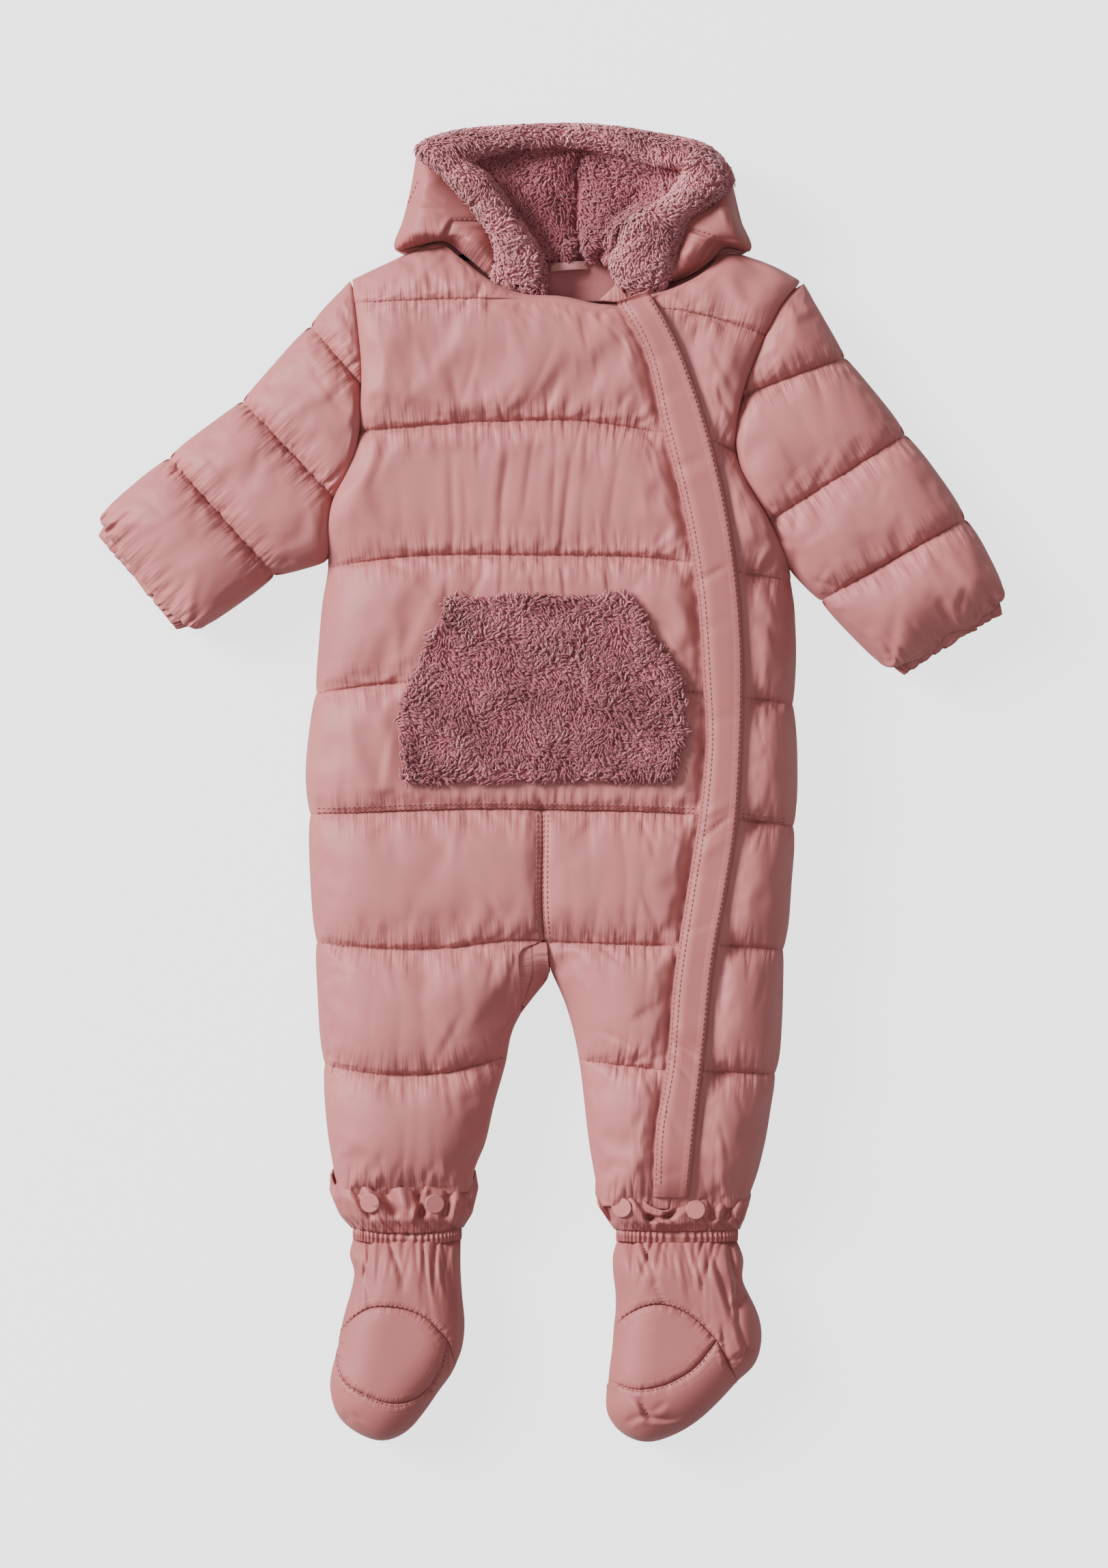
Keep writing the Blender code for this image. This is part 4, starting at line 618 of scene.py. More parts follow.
def satin(name, colour=(0.322, 0.103, 0.101)):
    """Close-woven satin-faced cloth: two near tones, a fine weave, and puckers beside the seams."""
    cloth, add, ramp = shading(name)
    spot = add("TexCoord", {})["Object"]
    tone = add("TexNoise", {"Scale": 16, "Detail": 3, "Vector": spot})["Fac"]
    shades = ramp(tone, *[(at, [c * share for c in colour]) for at, share in ((0.32, 0.93), (0.68, 1.06))])

    # the weave: threads both ways, a third of a millimetre apart
    warp, weft = (add("TexWave", {"Scale": 900, "Vector": spot}, bands_direction=way)["Fac"] for way in "XY")
    weave = add("Math", {0: warp, 1: weft}, operation="MULTIPLY")["Value"]
    woven = add("Bump", {"Strength": 0.10, "Distance": 0.0001, "Height": weave})["Normal"]

    # puckers: fine creases that run away from the seam and fade
    layout = add("UVMap", {}, uv_map="cloth")["UV"]
    stretch = add("Mapping", {"Scale": (300, 26, 1), "Vector": layout})["Vector"]
    crinkle = add("TexNoise", {"Scale": 1, "Detail": 2, "Vector": stretch})["Fac"]
    near = add("Attribute", {}, attribute_name="near_seam")["Fac"]
    fade = add("MapRange", {"From Min": 0.001, "From Max": 0.018, "To Min": 1, "To Max": 0,
                            "Value": near})["Result"]
    pucker = add("Math", {0: crinkle, 1: fade}, operation="MULTIPLY")["Value"]
    puckered = add("Bump", {"Strength": 0.8, "Distance": 0.0022, "Height": pucker, "Normal": woven})["Normal"]
    add("", {"Roughness": 0.55, "Specular IOR Level": 0.22, "Sheen Weight": 0.06, "Sheen Roughness": 0.42,
             "Sheen Tint": (1.0, 0.86, 0.84, 1), "Base Color": shades, "Normal": puckered})
    return cloth


rose_satin = satin("rose_satin")
FRONT_FLOOR = SPLIT + SEAM_GAP
LINE_PATHS = [[(x, float(line(x))) for x in np.linspace(-160, 160, 65)] for line in LINES]


def edge_path(edge, top, bottom, count=40):
    return [(float(edge(y)), y) for y in np.linspace(top, bottom, count)]


def panel(name, node, rows, stretches, ends, seams, held, folds=(), seed=1):
    """A quilted front panel, filled, gathered into its seams and folded."""
    flat, share, depth = body_points(LINES, rows, stretches)
    z = body_height(flat, share, depth)
    flat = flat.copy()
    flat[0, :, 1] -= ends[0]
    flat[-1, :, 1] += ends[1]
    if rows[-1] == HEM:
        flat[..., 1] -= (7.0 if node[4] == "r" else 4.5) * np.clip((rows - 7.7) / 0.3, 0, 1)[:, None] ** 2
    piece = padded_skin(name, raised(flat, z), rose_satin)
    plump(piece, held)
    refine(piece)
    gather(piece, FRONT_FLOOR, seams, seed=seed)
    ripple(piece, FRONT_FLOOR, seams, 12, 0.8, 22, seed + 50)
    if any(right is stitch_x for _, right, _ in stretches):
        ripple(piece, FRONT_FLOOR, [FLAP_SEAM], 10, 0.9, 9, seed, 0.6)
    fold(piece, FRONT_FLOOR, folds)
    close_under(piece, FRONT_FLOOR)
    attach(piece, "root")
    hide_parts(node)
    return piece


def held_between(lines, borders):
    """How firmly the body's cloth is held: at the stitches, at its edges, under pocket and flap."""

    def held(points):
        near, edge = nearest(points, lines), nearest(points, borders)
        covered = np.maximum(in_pocket(points), under_flap(points))
        stitched = np.clip(1.25 - near / 2.2, 0, 1)
        return np.clip(np.maximum.reduce([stitched, np.clip(1.3 - edge / 3.0, 0, 1), 1.2 * covered]), 0, 1)

    return held


def body_left(y):
    return left_x(y) + HALF_GAP * (np.asarray(y) > ARMPIT_LEFT_Y - 4)


def body_right(y):
    return right_x(y) - HALF_GAP * (np.asarray(y) > ARMPIT_RIGHT_Y - 4)


ROWS_EACH = 26
torso_rows, leg_rows = row_counts(0, WAIST, ROWS_EACH), row_counts(WAIST, HEM, ROWS_EACH)
FLAP_SEAM = edge_path(stitch_x, 300, -253)
MAIN_FOLDS = [
    (-62, 212, -59, 138, 2.8, -1.2), (-55, 196, -54, 138, 2.4, -0.9), (-26, 216, -33, 168, 3.0, -1.5),
    (-30, 186, -33, 138, 2.6, -1.4), (-12, 212, -18, 160, 2.4, -0.9), (3, 221, 0, 150, 2.8, -1.2),
    (15, 212, 7, 138, 2.6, -1.3), (21, 218, 20, 190, 2.0, -0.8), (44, 212, 34, 140, 3.0, -1.1),
    (54, 139, 78, 164, 1.8, -1.2), (62, 139, 83, 154, 1.5, -1.0), (-46, 214, -44, 188, 1.4, -0.7),
    (-76, 138, -74, 166, 1.4, -0.7), (-6, 141, -8, 164, 1.4, -0.8), (28, 141, 26, 166, 1.4, -0.9),
    (-59, 224, -45, 274, 2.0, -0.9), (-34, 226, -20, 247, 2.0, -1.0), (-22, 224, 3, 274, 2.6, -1.1),
    (-6, 220, 6, 252, 2.0, -1.1), (38, 226, 52, 244, 1.8, -1.2), (42, 218, 61, 236, 1.8, -1.2),
    (53, 219, 67, 229, 1.5, -1.0), (-90, 220, -86, 244, 1.8, -0.6), (16, 290, 22, 262, 1.6, -0.6),
    (-65, 136, -65, 106, 1.5, -1.3), (-31, 137, -32, 112, 1.5, -1.1), (-12, 137, -11, 112, 1.4, -1.1),
    (7, 137, 9, 108, 1.5, -1.2), (32, 136, 34, 112, 1.4, -1.0), (-42, 130, -53, 112, 1.4, -0.8),
    (-108, -8, -100, 34, 2.0, -1.0), (72, -12, 88, 24, 1.8, -0.9), (-120, 62, -112, 90, 1.8, -0.7),
    (-124, 54, -118, 26, 1.8, -0.7), (-60, -12, -64, -1, 1.4, -0.8), (-10, -13, -8, 0, 1.4, -0.8),
]
YOKE_PATH = [(x, y) for x, y in LINE_PATHS[1] if x < -36]
main_panel = panel(
    "front_panel_main", "front_main", torso_rows,
    [(body_left, stitch_x, eased(84, True, False)),
     (stitch_x, lambda y: zip_x(y) - HALF_GAP, np.linspace(0, 1, 5)[1:])],
    (0, HALF_GAP), [YOKE_PATH] + LINE_PATHS[2:WAIST + 1],
    held_between(LINE_PATHS[:WAIST + 1], (ARMHOLE_LEFT, edge_path(left_x, 137, -20), FLAP_SEAM)),
    MAIN_FOLDS, seed=3)
SIDE_FOLDS = [
    (96, 270, 116, 232, 2.2, -1.3), (100, 244, 116, 216, 1.8, -1.2), (104, 238, 116, 226, 1.5, 0.9),
    (118, 200, 126, 168, 2.0, -1.2), (122, 132, 136, 156, 2.0, -1.3), (132, 124, 138, 98, 1.8, -0.9),
    (124, 50, 130, 20, 1.8, -0.8), (130, -22, 134, 4, 1.8, -0.8),
]
side_panel = panel(
    "front_panel_side", "front_side", torso_rows,
    [(lambda y: zip_x(y) + HALF_GAP, free_x, np.linspace(0, 1, 5)[:-1]),
     (free_x, body_right, eased(20, False, True))],
    (0, HALF_GAP), LINE_PATHS[1:WAIST + 1],
    held_between(LINE_PATHS[:WAIST + 1], (ARMHOLE_RIGHT, edge_path(right_x, 132, -26))), SIDE_FOLDS, seed=5)


# ---------------------------------------------------------------- the legs' front panels
# The same quilted cloth in three channels a leg, sewn to the body at the waist, to each other
# down the middle, and split by the zip on the wearer's left leg. A small gusset fills the crotch.
def inner_left(y):
    y = np.asarray(y)
    gusset = np.where(y > GUSSET_END_Y, gusset_x(y), inseam_left_x(y))
    return np.where(y > GUSSET_SEAM[0][0], centre_x(y), gusset) - HALF_GAP


FORK_Y = -99  # where the legs part


def inner_right(y):
    return np.where(np.asarray(y) > FORK_Y, centre_x(y), inseam_right_x(y)) + HALF_GAP


LEG_LINES = LINE_PATHS[WAIST:HEM + 1]
leg_left = panel(
    "leg_front_left", "leg_left_front", leg_rows, [(left_x, inner_left, eased(54))], (HALF_GAP, 0), LEG_LINES,
    held_between(LEG_LINES, (edge_path(left_x, -16, -247), edge_path(inner_left, -16, -247))),
    [(-52, -20, -58, -52, 2.0, -0.9), (-24, -94, -46, -62, 2.2, -1.2), (-92, -96, -84, -72, 1.8, -1.0),
     (-112, -98, -106, -78, 1.6, -0.8), (-64, -99, -56, -74, 1.8, -1.0), (-54, -138, -75, -176, 2.4, -1.2),
     (-22, -104, -30, -136, 2.4, -1.2), (-36, -106, -40, -128, 1.8, -0.9), (-98, -106, -94, -130, 1.8, -0.8),
     (-56, -168, -84, -130, 2.2, -0.9), (-98, -246, -92, -230, 1.8, -1.3), (-81, -246, -72, -232, 1.8, -1.4),
     (-56, -244, -42, -222, 2.0, -1.4), (-112, -244, -104, -226, 1.6, -1.0),
     (-66, -182, -60, -206, 1.8, -0.7)],
    seed=7)
leg_inner = panel(
    "leg_front_right_inner", "leg_right_front_inner", leg_rows,
    [(inner_right, stitch_x, eased(36, True, False)),
     (stitch_x, lambda y: zip_x(y) - HALF_GAP, np.linspace(0, 1, 5)[1:])], (HALF_GAP, 0), LEG_LINES,
    held_between(LEG_LINES, (edge_path(inner_right, -16, -253), FLAP_SEAM)),
    [(66, -24, 84, -38, 1.8, -1.3), (54, -22, 64, -46, 1.8, -0.9), (55, -64, 62, -82, 1.6, -1.1),
     (28, -98, 46, -112, 1.8, -1.1), (70, -132, 44, -148, 2.0, -1.3), (26, -150, 54, -164, 1.8, -1.2),
     (14, -104, 24, -134, 2.2, -1.1), (54, -170, 64, -196, 1.8, -0.9), (30, -252, 36, -232, 1.8, -1.0),
     (50, -252, 52, -234, 1.8, -1.1), (22, -180, 30, -206, 1.8, -0.7)], seed=9)
leg_outer = panel(
    "leg_front_right_outer", "leg_right_front_outer", leg_rows,
    [(lambda y: zip_x(y) + HALF_GAP, free_x, np.linspace(0, 1, 5)[:-1]),
     (free_x, right_x, eased(20, False, True))], (HALF_GAP, 0), LEG_LINES,
    held_between(LEG_LINES, (edge_path(right_x, -22, -253),)),
    [(106, -106, 103, -144, 1.8, -1.1), (133, -106, 124, -140, 1.8, -1.1), (101, -202, 108, -236, 1.8, -1.3),
     (95, -181, 89, -225, 1.8, -1.2), (139, -104, 137, -176, 1.2, -1.2), (137, -180, 121, -244, 1.2, -1.2),
     (112, -184, 118, -206, 1.8, -0.8), (108, -34, 112, -62, 1.8, -0.8)], seed=11)


def between(first, last, across):
    """The points between two lines of points, at the same shares across all the way along."""
    across = across[None, :, None]
    return first[:, None] * (1 - across) + last[:, None] * across


GUSSET_LEFT = [(-20.5, -97), (-20.6, -118), (-20, -136)]
GUSSET_RIGHT = [(-3.6, -97), (-2.4, -109), (-2.2, -118), (-8, -126.5), (-16.5, -136.5)]
down, over = np.linspace(0, 1, 24), eased(14)
gusset_flat = between(path(GUSSET_LEFT, 24), path(GUSSET_RIGHT, 24), over)
gusset_rise = round_over(distance(gusset_flat, OUTLINE) / 22) * (15 + 6 * puff(down))[:, None]
gusset = padded_skin("gusset_puff", raised(gusset_flat, FRONT_FLOOR + CLOTH + gusset_rise), rose_satin)
refine(gusset)
gather(gusset, FRONT_FLOOR, [GUSSET_LEFT, GUSSET_RIGHT], spacing=3, deep=0.4, reach=4, seed=13)
close_under(gusset, FRONT_FLOOR)
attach(gusset, "root")
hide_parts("gusset")


# ---------------------------------------------------------------- the zip flap
# Two layers of the same cloth with no wadding, stitched down along their left side and free on
# the right, from the neck to the hem. The corner of the zip's underlap stands behind its top.
def thin_wall(name, low, high, cloth):
    """A thin piece between two grids of points."""
    rows, columns = high.shape[:2]
    count, border = rows * columns, rim(rows, columns)
    faces = quads(rows, columns) + quads(rows, columns, count)
    for i, a in enumerate(border):
        b = border[(i + 1) % len(border)]
        faces.append((a, a + count, b + count, b))
    return new_piece(name, np.concatenate([high.reshape(-1, 3), low.reshape(-1, 3)]), faces, cloth)


FLAP_THICK = 2.2
shaded_satin = satin("shaded_satin", (0.277, 0.083, 0.081))  # the same cloth a shade deeper: painted shade for pieces that would otherwise render lighter than the padded panels
FLAP_CREASES = [  # down the flap, how far across from its left, slant, half width and depth
    (262, 0.5, 0.3, 2.4, -0.9), (238, 0.3, 0.5, 2.0, -0.9), (196, 0.4, 0.4, 2.0, -1.4),
    (188, 0.6, 0.3, 3, 0.7),
    (128, 0.4, 0.6, 2.0, -1.4), (96, 0.3, 0.5, 2.0, -1.0), (40, 0.5, 0.2, 3, -0.6), (-16, 0.4, 0.5, 3, 0.9),
    (-26, 0.5, 0.9, 2.0, -2.0), (-38, 0.5, 0.7, 3, 1.0), (-58, 0.5, -0.3, 2.0, -1.6),
    (-88, 0.4, 0.3, 2.4, -0.7),
    (-152, 0.5, -0.4, 3, 1.4), (-163, 0.5, -0.5, 2.0, -2.6), (-176, 0.5, -0.9, 2.0, -1.2),
    (-206, 0.4, -1.6, 2.4, -1.2),
    (-238, 0.5, 0.2, 2.6, -0.8),
]
flap_rows = np.concatenate([row_counts(0, WAIST, 40)[:-1], row_counts(WAIST, HEM, 40)[:-1]])
flap_across = np.linspace(0, 1, 13)
flap_flat, flap_share, flap_depth = body_points(
    LINES, flap_rows, [(lambda y: stitch_x(y) + 0.6, free_x, flap_across)])
flap_base = body_height(flap_flat, flap_share, flap_depth) + 0.5
flap_low = flap_base + 0.3 + 2.3 * round_over(flap_across / 0.3)
for y, at, slant, wide, high in FLAP_CREASES:
    off = flap_flat[..., 1] - y - slant * 24 * (flap_across - at)
    flap_low += high * np.exp(-((off / wide) ** 2)) * np.sin(np.pi * np.clip(flap_across + 0.15, 0, 1))
flap_low = np.maximum(flap_low, flap_base)
flap_head = np.clip(1 - flap_rows / 0.22, 0, 1)[:, None] ** 2
flap_flat[..., 1] += 2.6 * flap_head * flap_across**0.5
flap_low += 5.0 * flap_head
flap_swell = FLAP_THICK * (0.45 + 0.55 * round_over(np.minimum(flap_across, 1 - flap_across) / 0.16))
flap_high = flap_low + flap_swell
# the flap takes the deeper satin's painted shade, as it lies flatter and faces the light more than the puffed
# channels
flap = thin_wall("flap_over_zip", raised(flap_flat, flap_low), raised(flap_flat, flap_high), shaded_satin)
gather(flap, 0, [FLAP_SEAM, edge_path(free_x, 300, -253)], spacing=5, deep=0.3, reach=3, seed=17, fades=3)
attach(flap, "root")
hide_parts("zip_flap")

UNDERLAP_THICK = 2.4
UNDERLAP = ([(29, 296.2), (37, 295.1), (48, 295.6)], [(38.4, 305.3), (40, 305.0), (41.8, 303.6)])
under_top, under_low = path(UNDERLAP[1], 12), path(UNDERLAP[0], 12)
slope = np.linspace(0, 1, 10)[:, None, None]
underlap_flat = under_low[None] * (1 - slope) + under_top[None] * slope
underlap_z = 47.0 + 0.8 * np.sin(np.pi * slope[..., 0]) * np.sin(np.linspace(0, np.pi, 12))[None]
underlap = thin_wall("zip_underlap_corner", raised(underlap_flat, underlap_z),
                     raised(underlap_flat, underlap_z + UNDERLAP_THICK), rose_satin)
gather(underlap, 0, [UNDERLAP[0]], spacing=5, deep=0.1, reach=2, seed=18)
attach(underlap, "root")
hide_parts("zip_underlap")


# ---------------------------------------------------------------- the pocket
# One piece of curly sherpa pile on a knit ground, laid on the belly and stitched along its top
# and bottom. Its slanted sides are open for the hands.
def locks(name, spots, normals, towards, cloth, length, width, seed, spread=0.5):
    """Curly locks of pile as one mesh: each a short teardrop that rises and bends over."""
    dice = np.random.default_rng(seed)
    count = len(spots)
    normals = normals / np.linalg.norm(normals, axis=1, keepdims=True)
    spots = spots - 0.7 * normals
    turn = dice.normal(0, spread * 1.6, count)
    flow = towards + dice.normal(0, spread, (count, 3))
    flow -= normals * (flow * normals).sum(1, keepdims=True)
    flow /= np.maximum(np.linalg.norm(flow, axis=1, keepdims=True), 1e-6)
    side = np.cross(normals, flow)
    long = length * dice.uniform(0.65, 1.25, count)
    wide = width * dice.uniform(0.7, 1.25, count)
    curl = dice.uniform(0.7, 1.3, count)
    steps, around = (0.0, 0.42, 0.8), 3
    girth = (0.6, 1.0, 0.62)
    rings = []

    def middle(s):
        up, out = np.sin(s * 2.1 * curl) * 0.46, (1 - np.cos(s * 2.1 * curl)) * 0.62
        return (spots + normals * (up * long)[:, None] + flow * (out * long)[:, None]
                + side * (0.28 * long * s**2 * np.sin(turn))[:, None])

    for s, thick in zip(steps, girth):
        centre = middle(s)
        bend = np.cos(s * 1.9 * curl)[:, None], np.sin(s * 1.9 * curl)[:, None]
        across = flow * bend[0] - normals * bend[1]
        for i in range(around):
            angle = 2 * math.pi * i / around
            rings.append(centre + (side * math.cos(angle) + 0.62 * across * math.sin(angle))
                         * (thick * wide / 2)[:, None])
    rings.append(middle(1.0))
    points = np.stack(rings, axis=1)
    each = points.shape[1]
    start = (np.arange(count) * each)[:, None]
    faces = []
    for ring in range(len(steps) - 1):
        for i in range(around):
            a, b = ring * around + i, ring * around + (i + 1) % around
            ahead = start + around
            faces.append(np.concatenate([start + a, start + b, ahead + b, ahead + a], axis=1))
    quads_of = np.concatenate(faces)
    last = (len(steps) - 1) * around
    tips = np.concatenate([
        np.concatenate([start + last + i, start + last + (i + 1) % around, start + each - 1], axis=1)
        for i in range(around)])
    mesh = bpy.data.meshes.new(name)
    mesh.from_pydata((points.reshape(-1, 3) * MM).tolist(), [], quads_of.tolist() + tips.tolist())
    tip = mesh.attributes.new("tip", "FLOAT", "POINT")
    shade = np.concatenate([np.repeat(steps, around), [1.0]])
    tip.data.foreach_set("value", np.tile(shade, count))
    tuft = mesh.attributes.new("lock", "FLOAT", "POINT")
    tuft.data.foreach_set("value", np.repeat(dice.random(count), each))
    mesh.materials.append(cloth)
    mesh.shade_smooth()
    piece = bpy.data.objects.new(name, mesh)
    bpy.context.scene.collection.objects.link(piece)
    return piece


def sherpa(name, root=(0.212, 0.058, 0.068), tip=(0.318, 0.098, 0.112)):
    """Matt curly pile, no two locks quite alike, with painted shade and light: deep rose at the roots, down
    among the locks and on the grounds under them, and paler at the tips.
    """
    pile, add, ramp = shading(name)
    along, lock = (add("Attribute", {}, attribute_name=mark)["Fac"] for mark in ("tip", "lock"))
    unlike = 0.30  # how far one lock differs from the next
    shade = add("Math", {0: lock, 1: unlike, 2: along}, operation="MULTIPLY_ADD")["Value"]
    share = add("Math", {0: shade, 1: 1 + unlike}, operation="DIVIDE")["Value"]
    # painted shade at the roots and a painted highlight at the tips; a ground, which has no tip, takes the
    # roots' shade
    middle = [0.45 * a + 0.55 * b for a, b in zip(root, tip)]
    shades = ramp(share, (0, root), (0.45, middle), ((1 + unlike / 2) / (1 + unlike), tip))

    # brushed patches, some deeper and some paler, and a fuzz of fibres on each lock
    spot = add("TexCoord", {})["Object"]
    patches = add("TexNoise", {"Scale": 34, "Detail": 2, "Vector": spot})["Fac"]
    brushed = add("MapRange", {"From Min": 0.36, "From Max": 0.62, "To Min": 0.72, "To Max": 1.14,
                               "Value": patches})["Result"]
    mottled = add("VectorMath", {0: shades, "Scale": brushed}, operation="SCALE")["Vector"]
    fibre = add("TexNoise", {"Scale": 1500, "Detail": 2, "Vector": spot})["Fac"]
    fuzz = add("Bump", {"Strength": 0.5, "Distance": 0.0004, "Height": fibre})["Normal"]
    add("", {"Roughness": 0.9, "Specular IOR Level": 0.1, "Sheen Weight": 0.05, "Sheen Roughness": 0.5,
             "Sheen Tint": (1.0, 0.85, 0.85, 1), "Subsurface Weight": 0.75,
             "Subsurface Radius": (1.0, 0.95, 0.95), "Subsurface Scale": 0.0016,
             "Base Color": mottled, "Normal": fuzz})
    return pile


def swirl(points, seed, scale=26.0):
    """Directions that turn slowly from place to place, as a pile that has been stroked about."""
    dice = np.random.default_rng(seed)
    angle = np.zeros(len(points))
    for _ in range(5):
        wave = dice.normal(0, 1 / scale, 2)
        angle += dice.uniform(0.6, 1.3) * np.sin(points[:, :2] @ wave * 2 + dice.uniform(0, 6.3))
    return np.stack([np.cos(angle), np.sin(angle), np.zeros(len(points))], axis=1)


def scattered(grid, step, seed):
    """Places strewn evenly over a grid of points, with the surface's normal at each."""
    dice = np.random.default_rng(seed)
    u_edge = grid[:-1, 1:] - grid[:-1, :-1]
    v_edge = grid[1:, :-1] - grid[:-1, :-1]
    cross = np.cross(u_edge, v_edge)
    area = np.linalg.norm(cross, axis=-1)
    total = int(area.sum() / step**2)
    pick = dice.choice(area.size, total, p=(area / area.sum()).ravel())
    r, c = np.unravel_index(pick, area.shape)
    u, v = dice.random(total)[:, None], dice.random(total)[:, None]
    spots = (grid[r, c] * (1 - u) * (1 - v) + grid[r, c + 1] * u * (1 - v)
             + grid[r + 1, c] * (1 - u) * v + grid[r + 1, c + 1] * u * v)
    normals = cross[r, c] / np.maximum(area[r, c][:, None], 1e-9)
    normals *= np.where(normals[:, 2:] < 0, -1, 1)
    return spots, normals


sherpa_pile = sherpa("sherpa_pile")
PILE_THICK = 9.0
POCKET_LOCK, POCKET_STREWN = 4.6, 1.25  # how long a lock is, and how far apart they stand
POCKET_BORDER = np.concatenate([
    path([(x, y) for y, x in POCKET_LEFT], 12), path([(x, y) for y, x in POCKET_RIGHT[::-1]], 12)])
pocket_share = np.linspace(1, 0, 48)[:, None]
pocket_across = np.linspace(0, 1, 66)[None]
pocket_y = (1 + 2 * pocket_across) + 113 * pocket_share
pocket_left, pocket_right = through(POCKET_LEFT)(pocket_y), through(POCKET_RIGHT)(pocket_y)
pocket_x = pocket_left * (1 - pocket_across) + pocket_right * pocket_across
pocket_flat = np.stack([pocket_x, pocket_y], axis=2)
pocket_low = np.max([
    body_height(spot, *channel(spot[..., 0], spot[..., 1]))
    for spot in [pocket_flat + np.array(step) * 6.0 for step in ((0, 0), (1, 0), (-1, 0), (0, 1), (0, -1))]
], axis=0) + 1.2
pocket_far = distance(pocket_flat, np.concatenate([POCKET_BORDER, POCKET_BORDER[:1]]))
pocket_high = pocket_low + (PILE_THICK - POCKET_LOCK) * (0.45 + 0.55 * round_over(pocket_far / 10))
pocket_top = raised(pocket_flat, pocket_high)
pocket = thin_wall("pocket_ground", raised(pocket_flat, pocket_low), pocket_top, sherpa_pile)
spots, normals = scattered(pocket_top, POCKET_STREWN, 21)
pocket_pile = locks("pocket_pile", spots, normals, swirl(spots, 22) + (0.1, -0.35, 0), sherpa_pile,
                    length=POCKET_LOCK, width=1.9, seed=23)
for piece in (pocket, pocket_pile):
    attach(piece, "root")
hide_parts("pocket")


# ---------------------------------------------------------------- the sleeves
# Four quilted channels a sleeve, set into the armhole and tapering to the wrist. The hem is
# turned over elastic, so that the mouth puckers.
def sleeve_points(at, out, rows, across):
    """Points over a sleeve, whose end rounds off at its corners and bulges over the hem."""
    rows, out = np.minimum(rows, 4.0), np.array(out, float) / np.linalg.norm(out)
    ends = np.array([at(count) for count in rows])
    near_end = np.clip((rows - 3.76) / 0.24, 0, 1)[:, None]
    outer, inner = ends[:, 0], ends[:, 1]
    wide = np.linalg.norm(inner - outer, axis=1, keepdims=True)
    pull = 6.0 * (1 - np.sqrt(1 - near_end**2)) * (inner - outer) / wide
    outer, inner = outer + pull, inner - pull
    flat = outer[:, None] + (inner - outer)[:, None] * across[None, :, None]
    bulge = 4.0 * near_end**2 * (1 - (2 * across - 1) ** 2) ** 0.8
    bulge = bulge - 4.0 * (out[0] > 0) * near_end**2 * np.exp(-(((across - 0.5) / 0.11) ** 2))
    bulge = bulge + 0.5 * near_end**3 * np.cos(across * 53 + 1.7 * np.sin(across * 19))
    flat = flat + bulge[..., None] * out
    return flat, np.repeat((rows - np.minimum(rows.astype(int), 3))[:, None], len(across), axis=1)


SLEEVE_CHANNEL = 62  # the depth of a sleeve's channels


def sleeve_height(points, share):
    rise = round_over(distance(points, OUTLINE) / (0.85 * ROUND_REACH))
    drop = np.minimum(QUILT_DROP, QUILT_STEEP * SLEEVE_CHANNEL) * (1 - puff(share))
    seams = nearest(points, (ARMHOLE_LEFT, ARMHOLE_RIGHT))
    drop = drop + 0.8 * SEAM_DROP * (1 - round_over(seams / SEAM_REACH))
    return SPLIT + SEAM_GAP + CLOTH + rise * (0.86 * FRONT_RISE - drop)


def sleeve_panel(side, at, out, folds, seed):
    flat, share = sleeve_points(at, out, row_counts(0, 4, 24), eased(42))
    grid = raised(flat, sleeve_height(flat, share))
    piece = padded_skin(f"sleeve_{side}_upper", grid, rose_satin)
    lines = [[tuple(p) for p in at(float(k))] for k in range(0, 5)]
    edges = [[tuple(at(s)[i]) for s in SLEEVE_STEPS] for i in (0, 1)]

    def held(points):
        near, edge = nearest(points, lines), nearest(points, edges)
        return np.clip(np.maximum(1.25 - near / 2.2, 1.3 - edge / 3.0), 0, 1)

    plump(piece, held)
    refine(piece)
    gather(piece, FRONT_FLOOR, lines[1:], seed=seed)
    ripple(piece, FRONT_FLOOR, lines[1:], 11, 0.7, 20, seed + 50)
    if side == "left":  # tight, ragged puckers where the quilting thread is drawn up hard
        ripple(piece, FRONT_FLOOR, lines[2:4], 2.8, 2.2, 3.4, seed)
    points = places(piece)
    hem = np.array(lines[4]) + 3.0 * np.array(out) / np.linalg.norm(out)
    along_hem, near, _ = beside_line(points, hem)
    clear = np.clip((points[:, 2] - FRONT_FLOOR - 1) / 4, 0, 1)
    points[:, 2] += pleats(along_hem, near, seed + 3, 5.5, 2.6, 12) * clear
    move_to(piece, points)
    fold(piece, FRONT_FLOOR, folds)
    close_under(piece, FRONT_FLOOR)
    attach(piece, "root")
    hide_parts(f"sleeve_{side}_front")
    return piece


CUFF_THICK, CUFF_DEPTH, CUFF_HALF_HEIGHT, CUFF_CENTRE_Z = 2.6, 6.4, 9.0, 20.0
CUFF_TUCK = 9.0  # how far the hem starts inside the sleeve
CUFF_DRAWN_IN = 8.0  # how much the elastic draws it in at each side


def squared(angle, power):
    """The cosine and the sine of angles, drawn out towards the corners of a box by a low power."""
    return [np.sign(way(angle)) * np.abs(way(angle)) ** power for way in (np.cos, np.sin)]


